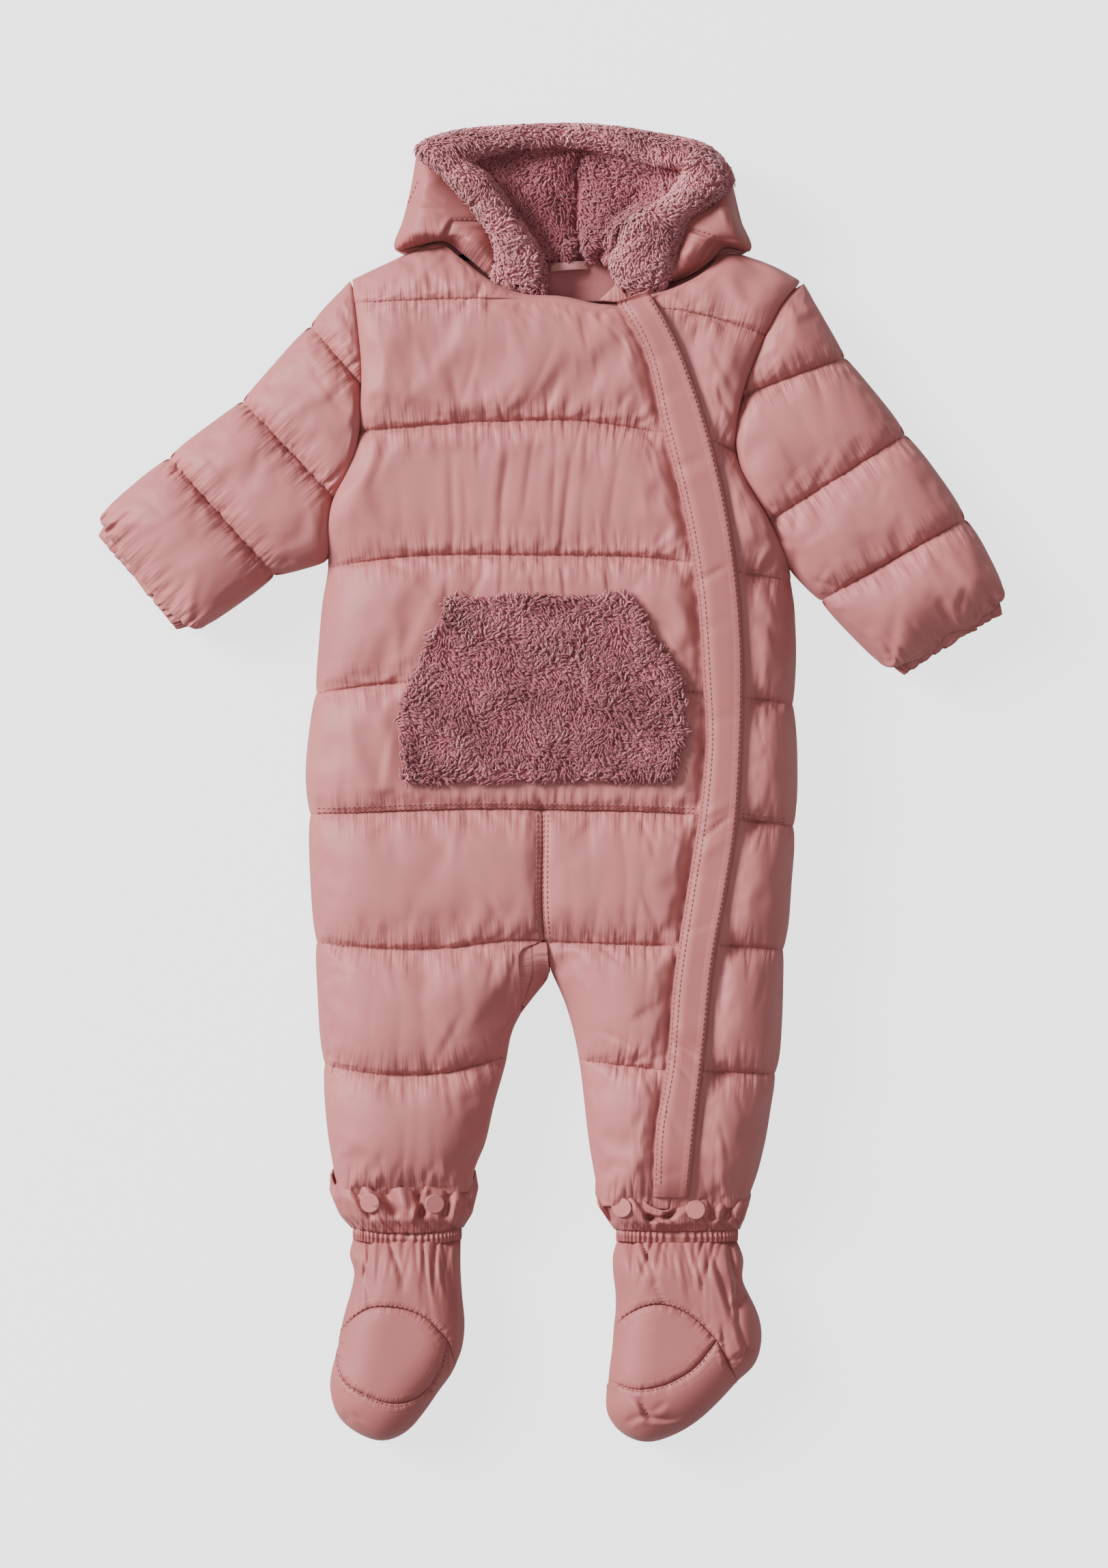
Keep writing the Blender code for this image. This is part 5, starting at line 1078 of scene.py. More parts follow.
def cuff(side, at, out, seed):
    """The gathered elastic hem of a sleeve, open at its mouth."""
    ends = np.array(at(4.0))
    middle, half = ends.mean(axis=0), (ends[1] - ends[0]) / 2
    half = half * (1 - CUFF_DRAWN_IN / np.linalg.norm(half))
    out = np.array(out, float) / np.linalg.norm(out)
    wide = np.linalg.norm(half)
    angle = np.linspace(0, 2 * np.pi, 289)[:-1]
    dice = np.random.default_rng(seed)
    wave = sum(dice.uniform(0.5, 1) * np.cos(n * angle + dice.uniform(0, 6.3))
               for n in (15, 22, 31, 37)) / 2.2
    c, s = squared(angle, 0.72)
    rings = []
    for cut, steps in ((0.0, np.linspace(0, 1, 9)), (CUFF_THICK, np.linspace(1, 0, 7))):
        for step in steps:
            grow = (1 - 0.10 * step**2) * (1 + 0.09 * wave * min(0.4 + step * 3, 1))
            away = -CUFF_TUCK + (CUFF_DEPTH + CUFF_TUCK) * step + 0.9 * wave * step
            spot = middle + out * np.reshape(away, (-1, 1)) + half * (c * grow * (wide - cut) / wide)[:, None]
            rings.append(np.column_stack([spot, CUFF_CENTRE_Z + s * grow * (CUFF_HALF_HEIGHT - cut)]))
    rings = np.array(rings + rings[:1])
    faces = quads(len(rings), len(angle), closed=True)
    piece = new_piece(f"cuff_{side}_hem", rings.reshape(-1, 3), faces, rose_satin)
    gather(piece, 0, [[tuple(p) for p in ends]], spacing=4, deep=0.2, reach=5, seed=seed)
    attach(piece, "root")
    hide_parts(f"cuff_{side}")


OUT_LEFT, OUT_RIGHT = (-0.78, -0.62), (0.53, -0.85)
sleeve_left = sleeve_panel("left", left_sleeve, OUT_LEFT, [
    (-156, 268, -128, 226, 2.2, -1.2), (-162, 264, -150, 252, 1.4, -0.9), (-178, 240, -168, 250, 1.4, -0.9),
    (-214, 205, -196, 184, 2.0, -0.9), (-236, 198, -226, 206, 1.4, -0.7), (-252, 176, -236, 164, 1.8, -1.1),
    (-276, 160, -258, 152, 1.8, -1.0), (-232, 100, -222, 114, 1.8, -1.3), (-196, 120, -206, 110, 1.8, -1.2),
    (-184, 128, -200, 116, 1.6, -1.0), (-246, 108, -240, 124, 1.6, -1.2),
    (-156, 128, -164, 140, 1.8, -1.0)], 31)
sleeve_right = sleeve_panel("right", right_sleeve, OUT_RIGHT, [
    (166, 196, 158, 176, 1.8, -1.2), (172, 206, 166, 190, 1.6, -1.0), (140, 178, 156, 196, 1.8, -0.8),
    (134, 152, 152, 146, 2.0, -1.6), (150, 146, 168, 158, 2.2, -1.0), (162, 122, 170, 134, 1.8, -1.2),
    (198, 168, 204, 186, 1.8, -0.8), (232, 96, 252, 86, 2.2, -4.6), (222, 74, 240, 84, 2.2, -4.2),
    (253, 121, 249, 104, 2.0, -2.0), (236, 114, 243, 98, 2.0, -2.0), (224, 94, 234, 82, 2.0, -2.0),
    (262, 112, 266, 124, 1.6, -1.0)], 33)
cuff("left", left_sleeve, OUT_LEFT, 35)
cuff("right", right_sleeve, OUT_RIGHT, 36)


# ---------------------------------------------------------------- the back panels
# The same quilted cloth underneath. It is pressed flat by the table, rounds up to the side
# seams, and its quilting lines stay as shallow channels.
BACK_TUCK = 14.0


def back_panel(name, nodes, flat, share, free=OUTLINE, groove=3.2, top=SPLIT, tuck=BACK_TUCK):
    """A back piece: plain where it meets the front, and flat underneath but for its channels."""
    far = distance(flat, free)
    up = top * (1 - round_over((far + 0.1) / tuck))
    up = np.maximum(up, groove * (1 - puff(share)))
    grid = raised(flat, np.minimum(up, top - 1.5))
    piece = padded_skin(name, grid, rose_satin)
    close_under(piece, top)
    gather_under(piece)
    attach(piece, "root")
    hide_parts(*nodes)
    return piece


def gather_under(piece):
    """Marks a piece as far from any seam, and lays its cloth flat."""
    mesh = piece.data
    mark = mesh.attributes.new("near_seam", "FLOAT", "POINT")
    mark.data.foreach_set("value", np.full(len(mesh.vertices), 0.02))
    points = places(piece)
    corner = np.empty(len(mesh.loops), int)
    mesh.loops.foreach_get("vertex_index", corner)
    mesh.uv_layers.new(name="cloth").data.foreach_set("uv", (points[:, :2] * MM)[corner].ravel())


BACK_NECK = through([
    (-124, 309), (-100, 318), (-84, 321.6), (105, 321.6), (122, 321), (138, 316), (157, 306)])
BACK_LINES = [BACK_NECK] + LINES[1:]
flat, share, _ = body_points(BACK_LINES, row_counts(0, WAIST, 14), [
    (lambda y: body_left(y) + 0.2, lambda y: body_right(y) - 0.2, eased(90))])
flat[-1, :, 1] += HALF_GAP
back_panel("back_panel_upper", ["back_upper"], flat, share)


def back_inner_left(y):
    return np.where(np.asarray(y) > FORK_Y, centre_x(y), inseam_left_x(y)) - HALF_GAP


flat, share, _ = body_points(LINES, row_counts(WAIST, HEM, 14), [(left_x, back_inner_left, eased(44))])
flat[0, :, 1] -= HALF_GAP
back_panel("leg_back_left", ["leg_left_back"], flat, share)
flat, share, _ = body_points(LINES, row_counts(WAIST, HEM, 14), [(inner_right, right_x, eased(44))])
flat[0, :, 1] -= HALF_GAP
back_panel("leg_back_right", ["leg_right_back"], flat, share)
for side, at, out in (("left", left_sleeve, OUT_LEFT), ("right", right_sleeve, OUT_RIGHT)):
    flat, share = sleeve_points(at, out, row_counts(0, 4, 14), eased(26))
    back_panel(f"sleeve_{side}_under", [f"sleeve_{side}_back"], flat, share)


# ---------------------------------------------------------------- the hood
# Pushed down behind the neck: a padded satin shell, a sherpa lining that shows as a bowl, and a
# thick sherpa band round its opening.
BAND_ROWS = ("inner_x", "inner_y", "outer_x", "outer_y", "crown")
HOOD_BAND = [
    (-4, 303, -37, 309.5, 52), (-6, 322, -35, 321, 56), (-17, 341, -39, 337, 59),
    (-26, 355, -50, 353, 61), (-38, 371, -68, 373, 61), (-47, 381, -83, 389, 59),
    (-30, 388, -62, 400, 55), (-2, 391.5, -20, 404, 50), (22, 391, 22, 404.5, 49),
    (40, 387, 62, 399.5, 51), (58, 381, 96, 391, 56), (79, 376, 110, 372, 61),
    (71, 361, 100, 357, 63), (53, 350, 84, 347, 62), (41, 340, 79, 332, 59),
    (36, 320, 72, 312, 56), (40, 309, 69, 305.5, 54),
]
HOOD_SIDE_LEFT = [
    (-84, 384), (-87, 366), (-92, 346), (-97, 329), (-82, 331), (-67, 333.5), (-54, 325), (-38, 311),
]
HOOD_SIDE_RIGHT = [(111, 367), (115, 349), (122, 328), (105, 329.5), (97, 321), (84, 312.5), (70, 307)]
HOOD_CREASE = [(17, 323), (14, 350), (16, 378), (17, 391)]
NECK_SEAM_Y = 322
BAND_STATIONS = 141
count_of, station = np.linspace(0, 1, len(HOOD_BAND)), np.linspace(0, 1, BAND_STATIONS)
columns = {name: through(list(zip(count_of, [row[i] for row in HOOD_BAND])))(station)
           for i, name in enumerate(BAND_ROWS)}
inner_edge = np.stack([columns["inner_x"], columns["inner_y"]], axis=1)
outer_edge = np.stack([columns["outer_x"], columns["outer_y"]], axis=1)
band_across = eased(21)
free_of = np.clip(np.minimum(station - 0.32, 0.70 - station) / 0.05, 0, 1)[:, None]
band_low = FRONT_FLOOR + np.where(band_across < 0.5, 14, 16 * (1 - free_of) + CLOTH * free_of)
crown = columns["crown"][:, None] - 3.0
band_high = band_low + (crown - band_low) * (1 - np.abs(2 * band_across - 1) ** 2.6) ** 0.55
band_flat = between(inner_edge, outer_edge, band_across)
band_top = raised(band_flat, band_high)
# The band's copy of the pile is lighter: painted light, as on pile that stands up facing the lamp.
lit_band_sherpa = sherpa("lit_band_sherpa", (0.290, 0.086, 0.097), (0.425, 0.150, 0.165))
band = padded_skin("hood_band_ground", band_top, lit_band_sherpa)
close_under(band, FRONT_FLOOR)
ends = np.array([band_top[0] + (1.5, -5.5, -6), band_top[-1] + (-1.0, -5.5, -6)])
strewn = np.concatenate([ends[:1], band_top, ends[1:]])
spots, normals = scattered(strewn, 1.3, 51)
band_flow = swirl(spots, 52, 20) + (0, -0.5, 0) + 0.3 * normals
band_pile = locks("hood_band_pile", spots, normals, band_flow, lit_band_sherpa, length=4.7, width=1.9, seed=53)
for piece in (band, band_pile):
    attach(piece, "root")
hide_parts("hood_band")


lining_sherpa = sherpa("lining_sherpa", (0.196, 0.051, 0.060), (0.294, 0.085, 0.097))
LOWER_ROLL = [(14, 328), (34, 334), (54, 345), (70, 356)]


def lining(side, first, last, seed):
    """Half of the hood's lining, from the middle crease up to the band's inner edge."""
    edge = inner_edge[first:last]
    count = len(edge)
    crease = path([(x + side * HALF_GAP, max(y, 323) - 1.6 * (y <= 323)) for x, y in HOOD_CREASE], count)
    edge = edge[::-1] if side > 0 else edge
    towards = crease - edge
    start = edge + towards / np.linalg.norm(towards, axis=1, keepdims=True) * 2 * SEAM_GAP
    share = np.linspace(0, 1, 26)[None, :, None]
    flat = crease[:, None] * (1 - share) + start[:, None] * share
    bowl = 4.0 + 14.0 * share**1.8 + 5.0 * np.sin(np.pi * np.minimum(share * 1.6, 1)) - 3.5
    bowl = bowl + 8.0 * np.exp(-(distance(flat, LOWER_ROLL) / 6.5) ** 2)[..., None]
    grid = np.concatenate([flat, FRONT_FLOOR + CLOTH + bowl], axis=2)
    where = "left" if side < 0 else "right"
    piece = padded_skin(f"hood_lining_{where}_ground", grid, lining_sherpa)
    close_under(piece, FRONT_FLOOR)
    spots, normals = scattered(grid, 1.26, seed)
    apart = distance(spots, crease) > 2.6 * (spots[:, 1] < 376)  # the pile parts along the crease
    spots, normals = spots[apart], normals[apart]
    flow = swirl(spots, seed) * 0.6 + np.array((0.25 * side, -1.0, 0)) * 0.9
    pile = locks(f"hood_lining_{where}_pile", spots, normals, flow, lining_sherpa,
                 length=4.8, width=1.9, seed=seed + 1)
    for part in (piece, pile):
        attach(part, "root")
    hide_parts(f"hood_lining_{where}")


top_station = int(np.argmin(np.abs(inner_edge[:, 0] - 17) + (inner_edge[:, 1] < 380) * 100))
lining(-1, 9, top_station + 1, 55)
lining(1, top_station, BAND_STATIONS - 9, 57)


def hood_side(side, outline, first, last, folds, seed):
    """A padded side of the hood's shell, between the band and the hood's own outline."""
    edge, outer = path(outer_edge[first:last], 56), path(outline, 56)
    edge = edge[::-1] if side < 0 else edge
    away = outer - edge
    wide = np.linalg.norm(away, axis=1, keepdims=True)
    start = edge - away / np.maximum(wide, 1e-6) * 1.0
    share = eased(30)[None, :]
    flat = start[:, None] * (1 - share[..., None]) + outer[:, None] * share[..., None]
    height = 16 + 10 * np.minimum(1.0, wide / 25) * np.sin(np.pi * np.minimum(share * 1.1, 1)) ** 0.7
    height = height * round_over((1 - share) * wide / 16 + 0.12)
    grid = raised(flat, FRONT_FLOOR + CLOTH + height)
    where = "left" if side < 0 else "right"
    # the padded shell takes the deeper satin's painted shade
    piece = padded_skin(f"hood_shell_{where}", grid, shaded_satin)
    refine(piece)
    gather(piece, FRONT_FLOOR, [outline[3:]], spacing=5, deep=0.5, reach=7, seed=seed)
    fold(piece, FRONT_FLOOR, folds)
    close_under(piece, FRONT_FLOOR)
    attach(piece, "root")
    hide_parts(f"hood_side_{where}")
    return piece


def nearest_station(x, y):
    return int(np.argmin(np.linalg.norm(outer_edge - np.array([x, y]), axis=1)))


hood_left = hood_side(-1, HOOD_SIDE_LEFT, 0, nearest_station(-82, 383) + 1, [
    (-81, 372, -94, 344, 1.2, -1.8), (-62, 344.5, -38, 344.5, 1.6, -4.5), (-60, 346, -67, 331, 1.6, -4.0),
    (-67, 333, -53, 314, 1.6, -4.0), (-54, 334, -48, 320, 6.0, 4.0), (-68, 333, -90, 334, 1.8, -2.6),
    (-84, 352, -66, 350, 2.0, -1.4), (-80, 362, -66, 356, 1.8, -1.0)], 61)
hood_right = hood_side(1, HOOD_SIDE_RIGHT, nearest_station(110, 371), BAND_STATIONS, [
    (80, 341, 102, 333.5, 1.4, -3.0), (101, 335, 88, 315, 1.6, -4.0), (90, 318, 70, 303, 1.8, -3.2),
    (88, 332, 80, 320, 6.0, 3.6), (100, 334, 118, 332, 1.8, -3.0), (104, 358, 110, 340, 1.6, -1.2)], 63)

back_left = path([(-97, 329), (-92, 346), (-87, 366), (-84, 384)], 30)
back_right = path([(122, 329), (116, 349), (112, 366), (109, 380)], 30)
back_top = path([
    (-84, 384), (-80, 394), (-62, 400), (-38, 403), (3, 404.5), (43, 402.5), (74, 396.5), (97, 391),
    (109, 380)], 60)
low_x, low_y = np.linspace(-97, 122, 60), NECK_SEAM_Y + SEAM_GAP
low_line = np.column_stack([low_x, np.interp(low_x, (-97, -78, 105, 122), (329, low_y, low_y, 329))])


def patch(top, bottom, left, right):
    """The points inside four lines of points: top and bottom run to the right, left and right run
    down, and they share their ends."""
    top, bottom, left, right = (np.array(side, float) for side in (top, bottom, left, right))

    def shares(line):
        run = np.concatenate([[0], np.cumsum(np.linalg.norm(np.diff(line, axis=0), axis=1))])
        return run / run[-1]

    u, v = shares(bottom)[None, :, None], shares(left)[:, None, None]
    corners = (1 - u) * ((1 - v) * top[0] + v * bottom[0]) + u * ((1 - v) * top[-1] + v * bottom[-1])
    return (1 - v) * top[None] + v * bottom[None] + (1 - u) * left[:, None] + u * right[:, None] - corners


hood_flat = patch(back_top, low_line, back_left[::-1], back_right[::-1])
hood_free = np.concatenate([back_left, back_top, back_right[::-1]])
hood_y, HOOD_CHANNEL_Y = hood_flat[..., 1], 362
hood_share = np.where(hood_y > HOOD_CHANNEL_Y, (405 - hood_y) / 43, (HOOD_CHANNEL_Y - hood_y) / 40)
back_panel("hood_back_panel", ["hood_back"], hood_flat, np.clip(hood_share, 0.03, 0.97), free=hood_free)


# ---------------------------------------------------------------- inside the neck
# A smooth fleece facing sewn over the neck seam, and a hanger loop of folded tape above it.
def knit(name, colour, scale=700):
    """Short matt fleece or tape: one tone, softly mottled, with a fine grain."""
    cloth, add, ramp = shading(name)
    grain = add("TexNoise", {"Scale": scale, "Detail": 3, "Vector": add("TexCoord", {})["Object"]})["Fac"]
    shades = ramp(grain, (0, [c * 0.82 for c in colour]), (1, [c * 1.14 for c in colour]))
    nap = add("Bump", {"Strength": 0.5, "Distance": 0.0004, "Height": grain})["Normal"]
    add("", {"Roughness": 0.85, "Sheen Weight": 0.4, "Base Color": shades, "Normal": nap})
    return cloth


fleece = knit("brushed_fleece", (0.235, 0.062, 0.068))
facing_x, facing_y = np.meshgrid(np.linspace(-9, 41, 50), np.linspace(NECK_SEAM_Y - 1, 297, 24))
facing_z = (FRONT_FLOOR + 1.2 + 0.9 * np.sin(facing_x / 6.0 + facing_y / 9.0)
            + 3.5 * np.clip((facing_y - 309) / 12, 0, 1) ** 2)
facing_grid = np.stack([facing_x, facing_y, np.maximum(facing_z, FRONT_FLOOR)], axis=2)
facing = thin_wall("neck_facing_fleece", facing_grid, facing_grid + (0, 0, 2.4), fleece)
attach(facing, "root")
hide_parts("neck_facing")

tape = knit("woven_tape", (0.36, 0.142, 0.130), 1200)
run = np.linspace(0, 1, 40)[:, None]
tape_y = 317.5 + np.concatenate([np.linspace(2.5, -2.1, 9), [-2.5, -2.5], np.linspace(-2.1, 2.5, 8)])
tape_z = np.concatenate([np.full(9, 0.0), [0.15, 0.55], np.full(8, 0.7)])
facing_out = np.stack([np.zeros(19), np.gradient(tape_z), -np.gradient(tape_y)], axis=1)
facing_out /= np.linalg.norm(facing_out, axis=1, keepdims=True)
loop_grid = np.stack([
    np.broadcast_to(-1 + 23 * run, (40, 19)), tape_y[None] + 1.5 * run,
    tape_z[None] + FRONT_FLOOR + 6.5 + 5.0 * np.sin(np.pi * run)], axis=2)
loop = thin_wall("hanger_loop_tape", loop_grid - 0.17 * facing_out, loop_grid + 0.17 * facing_out, tape)
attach(loop, "root")
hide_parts("hanger_loop")


# ---------------------------------------------------------------- the booties
# Each is cut from the suit's cloth: a shaft gathered into an elastic band, a vamp set into an
# arch, and a toe and sole. Above the elastic the cloth stands up as a ruffle with two snap caps.
FOOT_SPLIT, FOOT_RISE, FOOT_REACH, BOOT_TUCK = 17.0, 25.0, 27.0, 10.0
FOOT_FLOOR = FOOT_SPLIT + SEAM_GAP
ELASTIC_HALF, ELASTIC_HIGH = 3.8, 30.0
BOOTIES = {
    "left": {
        "mouth": (-92, -247, 44.5), "elastic": (-89.5, -276.5, 33.5),
        "left_side": [(-123, -280.8), (-125, -290), (-122, -300), (-124, -312), (-128, -326), (-131.5, -341)],
        "right_side": [(-56.5, -280.8), (-56.5, -300), (-55.5, -316), (-54, -334), (-56, -349),
                       (-59.5, -358)],
        "arch": [(-131.5, -341), (-126, -332), (-113, -322), (-97, -321), (-77, -328), (-64, -342)],
        "side_seam": [(-64, -342), (-59.5, -358)],
        "toe_seam": [(-132, -346), (-129, -365), (-113, -375.5), (-96, -380.5), (-81, -376), (-70, -362),
                     (-64, -342)],
        "outline": [(-133, -349), (-137, -372), (-131, -391), (-118, -401), (-105, -405), (-91, -400),
                    (-79, -387), (-70, -374), (-62, -363), (-59.5, -358)],
        "lowest": 4, "sag": 3.0, "snaps": [(-112, -257), (-72, -257.5)],
    },
    "right": {
        "mouth": (74, -252.5, 47), "elastic": (77, -277.5, 37.5),
        "left_side": [(40, -281.8), (37.5, -290), (37.5, -301), (39, -314), (39, -325), (38, -334)],
        "right_side": [(114, -281.8), (118, -293), (117, -305), (122, -316), (127.5, -328), (129, -343),
                       (125, -357), (114, -368)],
        "arch": [(38, -334), (45, -327), (63, -319), (82, -324), (101, -341)],
        "side_seam": [(101, -341), (114, -368)],
        "toe_seam": [(35.5, -367), (52, -371.5), (69, -368.5), (86, -359), (101, -341)],
        "outline": [(33.5, -371), (34, -388), (43, -400), (57, -405.5), (75, -401), (90, -392), (102, -381),
                    (114, -368)],
        "lowest": 3, "sag": 0.6, "snaps": [(42.5, -260), (88, -261)],
    },
}
BOOT_FOLDS = {
    "left": [(-110.5, -284, -120, -320, 1.6, -2.0), (-96, -283, -93, -311, 1.2, -1.6),
             (-87, -283, -93, -312, 1.4, -2.2),
             (-79, -283, -79, -323, 1.2, -2.0), (-75, -284, -72, -316, 1.2, -1.8),
             (-69.5, -284, -64, -316, 1.4, -2.0),
             (-64, -284, -60.5, -325, 1.4, -2.0), (-102, -286, -102, -306, 2.2, 1.0),
             (-58, -290, -57, -345, 1.4, -1.2),
             (-124, -386, -131, -394, 1.8, -3.0), (-123, -386, -116, -392, 1.6, -1.8),
             (-120, -284, -122, -318, 2.0, -3.4),
             (-117, -296, -112, -330, 2.0, -1.6), (-70, -340, -64, -372, 2.0, -1.6)],
    "right": [(51, -284, 62, -310, 1.6, -2.2), (56, -284, 63, -300, 1.2, -1.8),
              (78.5, -284, 84, -318, 1.4, -2.4),
              (86.5, -284, 93, -324, 1.4, -2.2), (97, -284, 112.5, -334, 1.8, -3.0),
              (108, -285, 117, -312, 1.8, -3.4),
              (68, -284, 72, -300, 1.2, -1.8), (73, -284, 77, -306, 1.2, -1.8),
              (44, -298, 42, -326, 2.2, -1.2),
              (62, -290, 58, -312, 3.0, 1.2), (113, -302, 114, -332, 1.6, -4.0),
              (113, -326, 121, -352, 1.6, -3.6), (122, -314, 108, -322, 1.6, -3.6),
              (129, -346, 104, -356, 1.4, -3.0), (104, -330, 109, -360, 1.8, -2.6),
              (52, -376, 60, -392, 1.8, -5.0),
              (54, -388, 80, -390, 1.6, -3.4), (44, -394, 58, -386, 1.6, -3.0),
              (60, -386, 70, -378, 2.0, -1.6)],
}
RUFFLE_FOLDS = {  # (x1, y1, x2, y2, half width, height) on the front of each ruffle
    "left": [(-82, -247, -80, -262, 2.6, -8.0), (-78.5, -249, -86, -266, 2.4, 3.4),
             (-104, -247, -97, -262, 3.2, -4.5),
             (-120, -250, -112, -264, 2.6, -3.6), (-93, -249, -90, -262, 3.0, 3.0),
             (-62, -248, -66, -264, 2.4, -3.4),
             (-55, -247, -52, -258, 2.4, -4.0), (-112, -249, -108, -257, 3.0, 2.0)],
    "right": [(50, -250, 60, -264, 2.6, -5.0), (60, -264, 72, -262, 2.4, -4.5),
              (72, -261, 86, -251, 2.6, -5.0),
              (46, -248, 57, -261, 2.2, 2.6), (76, -258, 90, -249, 2.2, 2.6), (31, -252, 36, -268, 2.4, -4.0),
              (100, -250, 98, -266, 2.4, -3.8), (112, -252, 107, -266, 2.6, -3.6),
              (64, -272, 66, -262, 2.2, 2.0)],
}
RUFFLE_DIPS = {  # (x, half width, how far the top edge drops)
    "left": [(-82, 4, 3.5), (-110, 7, 2.0), (-66, 6, -1.5)],
    "right": [(65, 13, 8.0), (30, 6, 3.0), (104, 7, 2.0)],
}


def offset_line(points, away):
    """A line moved sideways, to its left where away is positive."""
    points = np.array(points, float)
    ahead = np.diff(points, axis=0)
    ahead /= np.linalg.norm(ahead, axis=1)[:, None]
    normal = np.stack([-ahead[:, 1], ahead[:, 0]], axis=1)
    corner = np.concatenate([normal[:1], normal[:-1] + normal[1:], normal[-1:]])
    return points + away * corner / np.linalg.norm(corner, axis=1)[:, None]


def ankle_ring(centre_x, half_wide, low, high, thick, y_of, wave, waves, phase, points=480):
    """An outer and an inner ring round the ankle, flat underneath, standing from low to high."""
    angle = np.linspace(0, 2 * np.pi, points + 1)[:-1]
    c, s = squared(angle, 0.72)
    grow = 1 + wave * np.cos(waves * angle + phase) * (0.5 + 0.5 * s)
    rings = []
    for cut in (0.0, thick):
        x = centre_x + c * (half_wide * (1 + 0.3 * (grow - 1)) - cut)
        z = (low + high) / 2 + s * ((high - low) / 2 * np.where(s > 0, grow, 1) - cut)
        rings.append(np.column_stack([x, y_of(angle, x), z]))
    return rings


def ruffle_rings(side, sizes, seed):
    """The ruffle's rings, from its wavy top edge down to the elastic, with its listed folds."""
    (mx, _, mw), (bx, by, bw) = sizes["mouth"], sizes["elastic"]
    dice = np.random.default_rng(seed)
    angle = np.linspace(0, 2 * np.pi, 289)[:-1]
    c, s = squared(angle, 0.8)
    front = np.clip(s * 3, 0, 1)
    waves = [(n, dice.uniform(0, 6.3), dice.uniform(0.6, 1.2) * 7.0 / n * dice.choice([-1, 1]),
              dice.uniform(-1.5, 1.5)) for n in (5, 8, 11, 15, 21, 27)]
    top_wave = sum(dice.uniform(0.4, 0.9) * np.cos(n * angle + dice.uniform(0, 6.3)) for n in (6, 10, 14, 19))
    rings = []
    for t in np.linspace(0, 1, 22):
        calm = float(np.interp(t, (0, 0.5, 0.85, 1), (1.0, 1.0, 0.55, 0.0)))
        wide = float(np.interp(t, (0, 0.3, 0.75, 1), (mw + 0.5, mw + 1.5, 0.92 * mw, 1.04 * bw)))
        high = float(np.interp(t, (0, 0.35, 0.7, 1), (40, 43, 40, ELASTIC_HIGH + 2)))
        flutter = calm * sum(size * (1 - 2 * np.abs(np.sin((n * angle + at + turn * t) / 2)) ** 0.85)
                             for n, at, size, turn in waves)
        x = mx * (1 - t) + bx * t + c * (wide + 0.55 * flutter)
        z = 2 * t + high / 2 + s * (high / 2 + 0.9 * flutter * front)
        top = LINES[HEM](x) + 1.0 + top_wave * 1.3 + 6.0 * (1 - np.clip(s * 2, 0, 1))
        sag = sizes["sag"] * (1 - np.clip((x - bx) / bw, -1, 1) ** 2) * front
        y = top * (1 - t) + (by + ELASTIC_HALF - 0.8 - sag) * t
        for fx, fy, gx, gy, size, high_fold in RUFFLE_FOLDS[side]:
            run = np.array((gx - fx, gy - fy), float)
            rel = np.stack([x - fx, y - fy], axis=1)
            share = np.clip((rel @ run) / (run @ run), 0, 1)
            off = np.linalg.norm(rel - share[:, None] * run, axis=1)
            z = z + 1.3 * high_fold * np.exp(-((off / size) ** 2)) * front
        for at, size, drop in RUFFLE_DIPS[side]:
            y = y - drop * np.exp(-(((x - at) / size) ** 2)) * front * (1 - t) ** 1.5
            z = z + 0.35 * drop * np.exp(-(((x - at) / size) ** 2)) * front * np.exp(-((t / 0.22) ** 2))
        near = np.abs(y - by - ELASTIC_HALF)
        z = z + pleats(x + 200, near, seed + 1, 3.6, 1.9, 7) * front
        z = np.maximum(z, 0.6 * t)
        middle = 2 * t + high / 2
        inside = np.column_stack([mx * (1 - t) + bx * t + (x - mx * (1 - t) - bx * t) * (1 - 1.4 / wide), y,
                                  middle + (z - middle) * (1 - 1.4 / (high / 2))])
        rings.append([np.column_stack([x, y, z]), inside])
    return rings


def ankle_tube(name, rings):
    """A tube of cloth from pairs of rings, outside down and back up the inside."""
    loops = [r[0] for r in rings] + [r[1] for r in rings[::-1]]
    loops = np.array(loops + loops[:1])
    # the ruffle and the elastic band take the deeper satin's painted shade
    return new_piece(name, loops.reshape(-1, 3), quads(len(loops), loops.shape[1], closed=True), shaded_satin)


